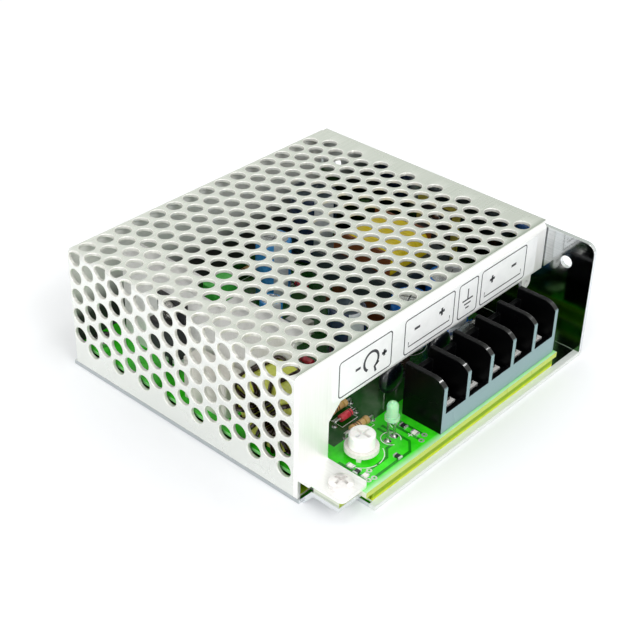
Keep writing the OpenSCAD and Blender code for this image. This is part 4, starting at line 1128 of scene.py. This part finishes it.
for row in range(ROWS):
    v0, v1 = lines[row], lines[row + 1]
    for along in odd_row if row % 2 else even_row:
        punch_cell(along, FIRST_ROW + ROW_PITCH * row, v0, v1)
    for ends in ((0.0, stations[1]), (stations[-2], sheet_end)) if row % 2 else ():
        for depth, finish_index in ((0, SATIN), (SHEET_T, INNER)):
            face = bm.faces.new([flat_spot(*p, depth) for p in cell_edge(*ends, v0, v1)])
            face.material_index = finish_index
fold_cuts = [fold_start + (fold_end - fold_start) * k / FOLD_STEPS for k in range(FOLD_STEPS + 1)]
for cut in [flange_end] + fold_cuts:
    bmesh.ops.bisect_plane(bm, geom=bm.verts[:] + bm.edges[:] + bm.faces[:], dist=1e-5, plane_co=(cut, 0, 0),
                           plane_no=(1, 0, 0))
under = {(round(v.co.x, 3), round(v.co.y, 3)): v for v in bm.verts if v.co.z == SHEET_T}
for edge in [e for e in bm.edges if e.is_boundary and e.verts[0].co.z == 0 and e.verts[1].co.z == 0]:
    p, q = edge.verts
    middle = (p.co + q.co) / 2
    seam = abs(middle.y - front_line) < 1e-3 or abs(middle.y - back_line) < 1e-3
    if not (seam and flange_end < middle.x < fold_start):
        bm.faces.new((p, q, *(under[round(v.co.x, 3), round(v.co.y, 3)] for v in (q, p))))
for vertex in bm.verts:
    vertex.co = folded(*vertex.co)


def bent_strip(bm, x0, x1, middle, start, end, radius):
    """Quarter bend of the sheet along X, about a middle (y, z), from one angle to the other."""
    rings = []
    for k in range(FOLD_STEPS + 1):
        a = math.radians(start + (end - start) * k / FOLD_STEPS)
        ring = [(x, middle[0] + r * math.cos(a), middle[1] + r * math.sin(a))
                for r in (radius, radius - SHEET_T) for x in (x0, x1)]
        rings.append([bm.verts.new(p) for p in (ring[0], ring[1], ring[3], ring[2])])
    for near, far in zip(rings, rings[1:]):
        for k in range(4):
            bm.faces.new((near[k], near[(k + 1) % 4], far[(k + 1) % 4], far[k]))


def sheet_panel(bm, outline, holes, set_out, seams=()):
    """Flat panel of the sheet from its outline, with round holes; seam edges run on into a bend."""
    turn = [math.pi * k / 12 for k in range(24)]
    loops = [outline] + [[(x + r * math.cos(a), y + r * math.sin(a)) for a in turn] for x, y, r in holes]
    for depth in (0, SHEET_T):
        edges = []
        for loop in loops:
            spots = [bm.verts.new(set_out(*p, depth)) for p in loop]
            edges += [bm.edges.new((spots[k - 1], spots[k])) for k in range(len(spots))]
        bmesh.ops.triangle_fill(bm, edges=edges, use_beauty=True, use_dissolve=False)
    for loop in loops:
        for k, end in enumerate(loop):
            start = loop[k - 1]
            if (start, end) not in seams:
                corners = ((start, 0), (end, 0), (end, SHEET_T), (start, SHEET_T))
                bm.faces.new([bm.verts.new(set_out(*p, depth)) for p, depth in corners])


def corner(x, y, r, start, steps=8):
    """Points round a corner of a panel."""
    turn = [math.radians(start + 90 * k / steps) for k in range(steps + 1)]
    return [(x + r * math.cos(a), y + r * math.sin(a)) for a in turn]


wall_in = low.x + SHEET_T
fold_x = low.x + FOLD_R
flange = [(wall_in, TAB_Z), (STRIP_RIGHT, TAB_Z), (STRIP_RIGHT, FLANGE_LOW - FLANGE_CHAMFER)]
flange += [(STRIP_RIGHT + FLANGE_CHAMFER, FLANGE_LOW), (LUG_X - LUG_R, FLANGE_LOW)]
flange += corner(LUG_X, LUG_Z, LUG_R, 180) + corner(LUG_X, LUG_Z, LUG_R, 270)[1:]
flange += [(LUG_X + LUG_R, FLANGE_LOW), (FLANGE_RIGHT, FLANGE_LOW), (FLANGE_RIGHT, fold_z)]
flange += [(fold_x, fold_z), (wall_in, fold_z)]
sheet_panel(bm, flange, [(LUG_X, LUG_Z, LUG_HOLE_R)], lambda x, z, depth: (x, flange_face + depth, z),
            seams=[(flange[0], flange[1]), ((FLANGE_RIGHT, fold_z), (fold_x, fold_z))])
bent_strip(bm, fold_x, FLANGE_RIGHT, (front_line, fold_z), 90, 180, FOLD_R)
wall_front = [(flange_face, low.z), (front_line, low.z), (front_line, fold_z), (flange_face, fold_z)]
sheet_panel(bm, wall_front, [], lambda y, z, depth: (low.x + depth, y, z))


def mitre_spot(u, v):
    """Point of the front left corner, where the two folds meet, from its reach into each of them."""
    return fold_x - u, front_line - v, fold_z + math.sqrt(FOLD_R ** 2 - max(u, v) ** 2)


steps = [FOLD_R * math.sin(math.pi / 2 * k / FOLD_STEPS) for k in range(FOLD_STEPS + 1)]
mitre = [[bm.verts.new(mitre_spot(u, v)) for u in steps] for v in steps]
for near, far in zip(mitre, mitre[1:]):
    for k in range(FOLD_STEPS):
        bm.faces.new((near[k], near[k + 1], far[k + 1], far[k]))
tab_line = flange_face + SHEET_T - FOLD_R
tab_y = low.y + TAB_CORNER
bent_strip(bm, STRIP_LEFT, STRIP_RIGHT, (tab_line, TAB_Z), 0, -90, FOLD_R)
tab = [(STRIP_RIGHT, tab_line), (STRIP_LEFT, tab_line), (STRIP_LEFT, tab_line - TAB_STEP)]
tab += [(TAB_LEFT, tab_line - TAB_STEP)] + corner(TAB_LEFT + TAB_CORNER, tab_y, TAB_CORNER, 180)
tab += corner(STRIP_RIGHT - TAB_CORNER, tab_y, TAB_CORNER, 270)
sheet_panel(bm, tab, [TAB_HOLE], lambda x, y, depth: (x, y, TAB_Z - FOLD_R + SHEET_T - depth),
            seams=[(tab[0], tab[1])])
back_fold_z = roof - BACK_FOLD_R
bent_strip(bm, fold_x, FLANGE_RIGHT, (back_line, back_fold_z), 90, 0, BACK_FOLD_R)
back = [(BACK_LEFT, low.z), (FLANGE_RIGHT, low.z), (FLANGE_RIGHT, back_fold_z), (fold_x, back_fold_z)]
sheet_panel(bm, back + [(BACK_LEFT, back_fold_z)], [], lambda x, z, depth: (x, high.y - depth, z),
            seams=[(back[2], back[3])])
bmesh.ops.remove_doubles(bm, verts=bm.verts, dist=1e-4)
for face in bm.faces:
    face.tag = True
    depth = face.calc_center_median().y
    if depth < front_line:
        face.material_index = FRONT
    elif depth > back_line:
        face.material_index = LINING if abs(depth - lining_y) < 0.01 else SATIN
bm.transform(Matrix.Scale(MM, 4))
piece("folded_cover", bm, [satin_sheet, burnished_rim, front_sheet, shaded_inner_sheet, back_lining], "case",
      ["cover"], smooth=30)


# Label: white satin film stuck on the flange, printed with outlined fields and plain signs: a turning
# arrow over the trimmer, minus and plus over the poles, and the earth sign between them.
PRINT_LINE = 0.34 * MM
SIGN_LINE = 0.75 * MM
EARTH_LINE = 1.4 * PRINT_LINE
LABEL_LIFT = 0.015 * MM
FIELDS = ((-36.0, -17.0), (-12.0, 7.6), (9.5, 17.4), (19.0, 38.8))
FIELD_LOW = 23.5
FIELD_HIGH = 33.6
FIELD_R = 0.9
ARROW_X = -24.5
ARROW_Z = 28.6
ARROW_R = 2.6
ARROW_SPAN = 150
ARROW_STEP = 15
ARROW_BARBS = ((1.5, 0.9), (0.5, -1.6))
ARROW_SIGN_STEP = 4.8
ARROW_SIGN_HALF = 0.9
SIGN_HALF = 1.1
SIGN_Z = 29.6
SIGN_PAIRS = ((-7.2, 2.6, -10.4, 6.0), (33.4, 23.8, 20.8, 37.0))
BRACKET_Z = 25.4
BRACKET_ARM = 1.4
EARTH_X = 13.4
EARTH_TOP = 31.4
EARTH_BARS = ((2.2, 28.2), (1.4, 27.0), (0.7, 25.8))
OUT = Vector((0, -1, 0))

label_film = finish("white_label_film", "#f0f2f2", "#fafbfb", (0.3, 0.42), 0.3, relief=0.001,
                    coat_weight=0.7, coat_roughness=0.25)
dress(label_film, "terminal_label")
label_ink = finish("label_ink", "#26282b", "#3a3d42", (0.4, 0.5), 2.0)
label_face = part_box("terminal_label")[0][1] - LABEL_LIFT


def stroke(bm, *points, width=SIGN_LINE, closed=False):
    """Strokes of a sign through points of the label's printed face, in millimetres."""
    ribbon(bm, [Vector((x * MM, label_face, z * MM)) for x, z in points], width, OUT, closed)


def field(bm, x0, x1):
    """Thin outline of a field with rounded corners."""
    points = []
    for x, z, start in ((x1 - FIELD_R, FIELD_HIGH - FIELD_R, 0), (x0 + FIELD_R, FIELD_HIGH - FIELD_R, 90),
                        (x0 + FIELD_R, FIELD_LOW + FIELD_R, 180), (x1 - FIELD_R, FIELD_LOW + FIELD_R, 270)):
        points += corner(x, z, FIELD_R, start, steps=6)
    stroke(bm, *points, width=PRINT_LINE, closed=True)


def minus(bm, x, z=SIGN_Z, half=SIGN_HALF):
    """Minus sign about a place."""
    stroke(bm, (x - half, z), (x + half, z))


def plus(bm, x, z=SIGN_Z, half=SIGN_HALF):
    """Plus sign about a place."""
    minus(bm, x, z, half)
    stroke(bm, (x, z - half), (x, z + half))


def bracket(bm, x0, x1):
    """Line under two signs with its ends turned up."""
    top = BRACKET_Z + BRACKET_ARM
    stroke(bm, (x0, top), (x0, BRACKET_Z), (x1, BRACKET_Z), (x1, top), width=PRINT_LINE)


bm = bmesh.new()
for ends in FIELDS:
    field(bm, *ends)
turn = [math.radians(a) for a in range(ARROW_SPAN, -ARROW_SPAN - 1, -ARROW_STEP)]
arrow = [(ARROW_X + ARROW_R * math.sin(a), ARROW_Z + ARROW_R * math.cos(a)) for a in turn]
stroke(bm, *arrow)
tip_x, tip_z = arrow[0]
barbs = [(tip_x + right, tip_z + up) for right, up in ARROW_BARBS]
stroke(bm, barbs[0], arrow[0], barbs[1])
minus(bm, ARROW_X - ARROW_SIGN_STEP, ARROW_Z, ARROW_SIGN_HALF)
plus(bm, ARROW_X + ARROW_SIGN_STEP, ARROW_Z, ARROW_SIGN_HALF)
for minus_x, plus_x, start, end in SIGN_PAIRS:
    minus(bm, minus_x)
    plus(bm, plus_x)
    bracket(bm, start, end)
stroke(bm, (EARTH_X, EARTH_TOP), (EARTH_X, EARTH_BARS[0][1]), width=EARTH_LINE)
for half, z in EARTH_BARS:
    stroke(bm, (EARTH_X - half, z), (EARTH_X + half, z), width=EARTH_LINE)
piece("label_print", bm, [label_ink], "case")


# Cover screw: pan-head steel screw with pale bright zinc, driven through the tab and the board into
# the tapped ear of the chassis.
bright_zinc = finish("bright_zinc", "#e6e3e0", "#f4f2f0", (0.28, 0.42), 1.5, metal=0.4, wear=0.6,
                     edge=0.25, relief=0.001)
dress(bright_zinc, "cover_screws")


# Studio: pale paper floor in a soft grey-white room, lit by large soft lamps in front and on the left and
# by a small one on the right. The floor shows white to the camera and in the metal, a little whiter away
# from the part, and keeps the part's shadow.
FLOOR_SIZE = 6.0
FLOOR_DROP = 0.05 * MM
PAPER = (0.82, 0.82, 0.82, 1.0)
PAPER_SEEN = (0.84, 0.85, 0.87, 1.0)
GLOW_NEAR = 0.05
GLOW_FAR = 0.095
GLOW_LOW = 0.02
GLOW_HIGH = 0.3
ROOM_WHITE = (1.0, 1.0, 1.0, 1.0)
ROOM_LIGHT = 0.7
ROOM_AXIS = (0.93, 0.25, 0.27)
ROOM_TONES = ((0.0, ROOM_WHITE), (0.5, (0.9, 0.91, 0.89, 1.0)), (0.79, (0.88, 0.91, 0.86, 1.0)),
              (0.87, (0.8, 0.83, 0.78, 1.0)), (0.92, (0.71, 0.76, 0.7, 1.0)), (1.0, (0.5, 0.52, 0.48, 1.0)))
LAMP_AIM = Vector((0, 0, 0.02))


def seen_rays(tree):
    """One for the rays that show the room to the camera, in metal or through glass, else zero."""
    rays = place(tree, "LightPath").outputs
    shown = sums(tree, "ADD", rays["Is Camera Ray"], rays["Is Glossy Ray"])
    return sums(tree, "ADD", shown, rays["Is Transmission Ray"])


bm = bmesh.new()
bmesh.ops.create_grid(bm, x_segments=1, y_segments=1, size=FLOOR_SIZE / 2)
mesh = bpy.data.meshes.new("studio_floor")
bm.to_mesh(mesh)
bm.free()
floor = bpy.data.objects.new("studio_floor", mesh)
floor.location.z = -FLOOR_DROP
bpy.context.scene.collection.objects.link(floor)
floor_paper = bpy.data.materials.new("floor_paper")
floor_paper.use_nodes = True
tree = floor_paper.node_tree
tree.nodes.clear()
paper = place(tree, "BsdfDiffuse", {"Color": PAPER}).outputs[0]
shade = place(tree, "BsdfDiffuse", {"Color": PAPER_SEEN}).outputs[0]
spot = place(tree, "TexCoord").outputs["Object"]
away = place(tree, "VectorMath", {0: spot}, operation="LENGTH").outputs["Value"]
lift = place(tree, "MapRange", {"Value": away, "From Min": GLOW_NEAR, "From Max": GLOW_FAR,
                                "To Min": GLOW_LOW, "To Max": GLOW_HIGH}).outputs[0]
glow = place(tree, "Emission", {"Color": ROOM_WHITE, "Strength": lift}).outputs[0]
white = place(tree, "AddShader", {0: shade, 1: glow}).outputs[0]
shown = place(tree, "MixShader", {0: seen_rays(tree), 1: paper, 2: white}).outputs[0]
place(tree, "OutputMaterial", {"Surface": shown})
mesh.materials.append(floor_paper)

room = bpy.data.worlds.new("soft_room")
room.use_nodes = True
tree = room.node_tree
tree.nodes.clear()
direction = place(tree, "TexCoord").outputs["Generated"]
side_on = place(tree, "VectorMath", {0: direction, 1: ROOM_AXIS}, operation="DOT_PRODUCT").outputs["Value"]
ramp = place(tree, "ValToRGB", {0: side_on})
while len(ramp.color_ramp.elements) < len(ROOM_TONES):
    ramp.color_ramp.elements.new(0.5)
for stop, (at, tone) in zip(ramp.color_ramp.elements, ROOM_TONES):
    stop.position = at
    stop.color = tone
level = place(tree, "MapRange", {"Value": seen_rays(tree), "To Min": ROOM_LIGHT, "To Max": 1.0}).outputs[0]
walls = place(tree, "Background", {"Color": ramp.outputs[0], "Strength": level}).outputs[0]
place(tree, "OutputWorld", {"Surface": walls})
bpy.context.scene.world = room


def soft_lamp(name, spot, size, power):
    """Square soft lamp turned to the part."""
    data = bpy.data.lights.new(name, "AREA")
    data.size = size
    data.energy = power
    lamp = bpy.data.objects.new(name, data)
    lamp.location = spot
    lamp.rotation_euler = (LAMP_AIM - Vector(spot)).to_track_quat("-Z", "Y").to_euler()
    bpy.context.scene.collection.objects.link(lamp)


soft_lamp("front_lamp", (-0.12, -0.6, 0.5), 0.4, 2.2)
soft_lamp("left_lamp", (-0.68, -0.2, 0.3), 0.4, 1.9)
soft_lamp("right_lamp", (0.62, -0.25, 0.7), 0.1, 0.8)


# Camera: at the photograph's angle, a long lens a third of a metre from the part and level but for a
# slight roll. The colours go to the picture as they are, with no film look.
LENS = 75.356
SENSOR = 36.0
NEAR_CLIP = 0.01
CAMERA_SPOT = (-0.226326, -0.193930, 0.212770)
CAMERA_RIGHT = (0.66948, -0.74246, 0.02355)
CAMERA_UP = (0.40164, 0.38846, 0.82934)

data = bpy.data.cameras.new("photo_camera")
data.lens = LENS
data.sensor_width = SENSOR
data.clip_start = NEAR_CLIP
camera = bpy.data.objects.new("photo_camera", data)
right = Vector(CAMERA_RIGHT).normalized()
up = Vector(CAMERA_UP).normalized()
facing_back = Matrix((right, up, right.cross(up))).transposed().to_4x4()
camera.matrix_world = Matrix.Translation(CAMERA_SPOT) @ facing_back
bpy.context.scene.collection.objects.link(camera)
bpy.context.scene.camera = camera
bpy.context.scene.view_settings.view_transform = "Standard"
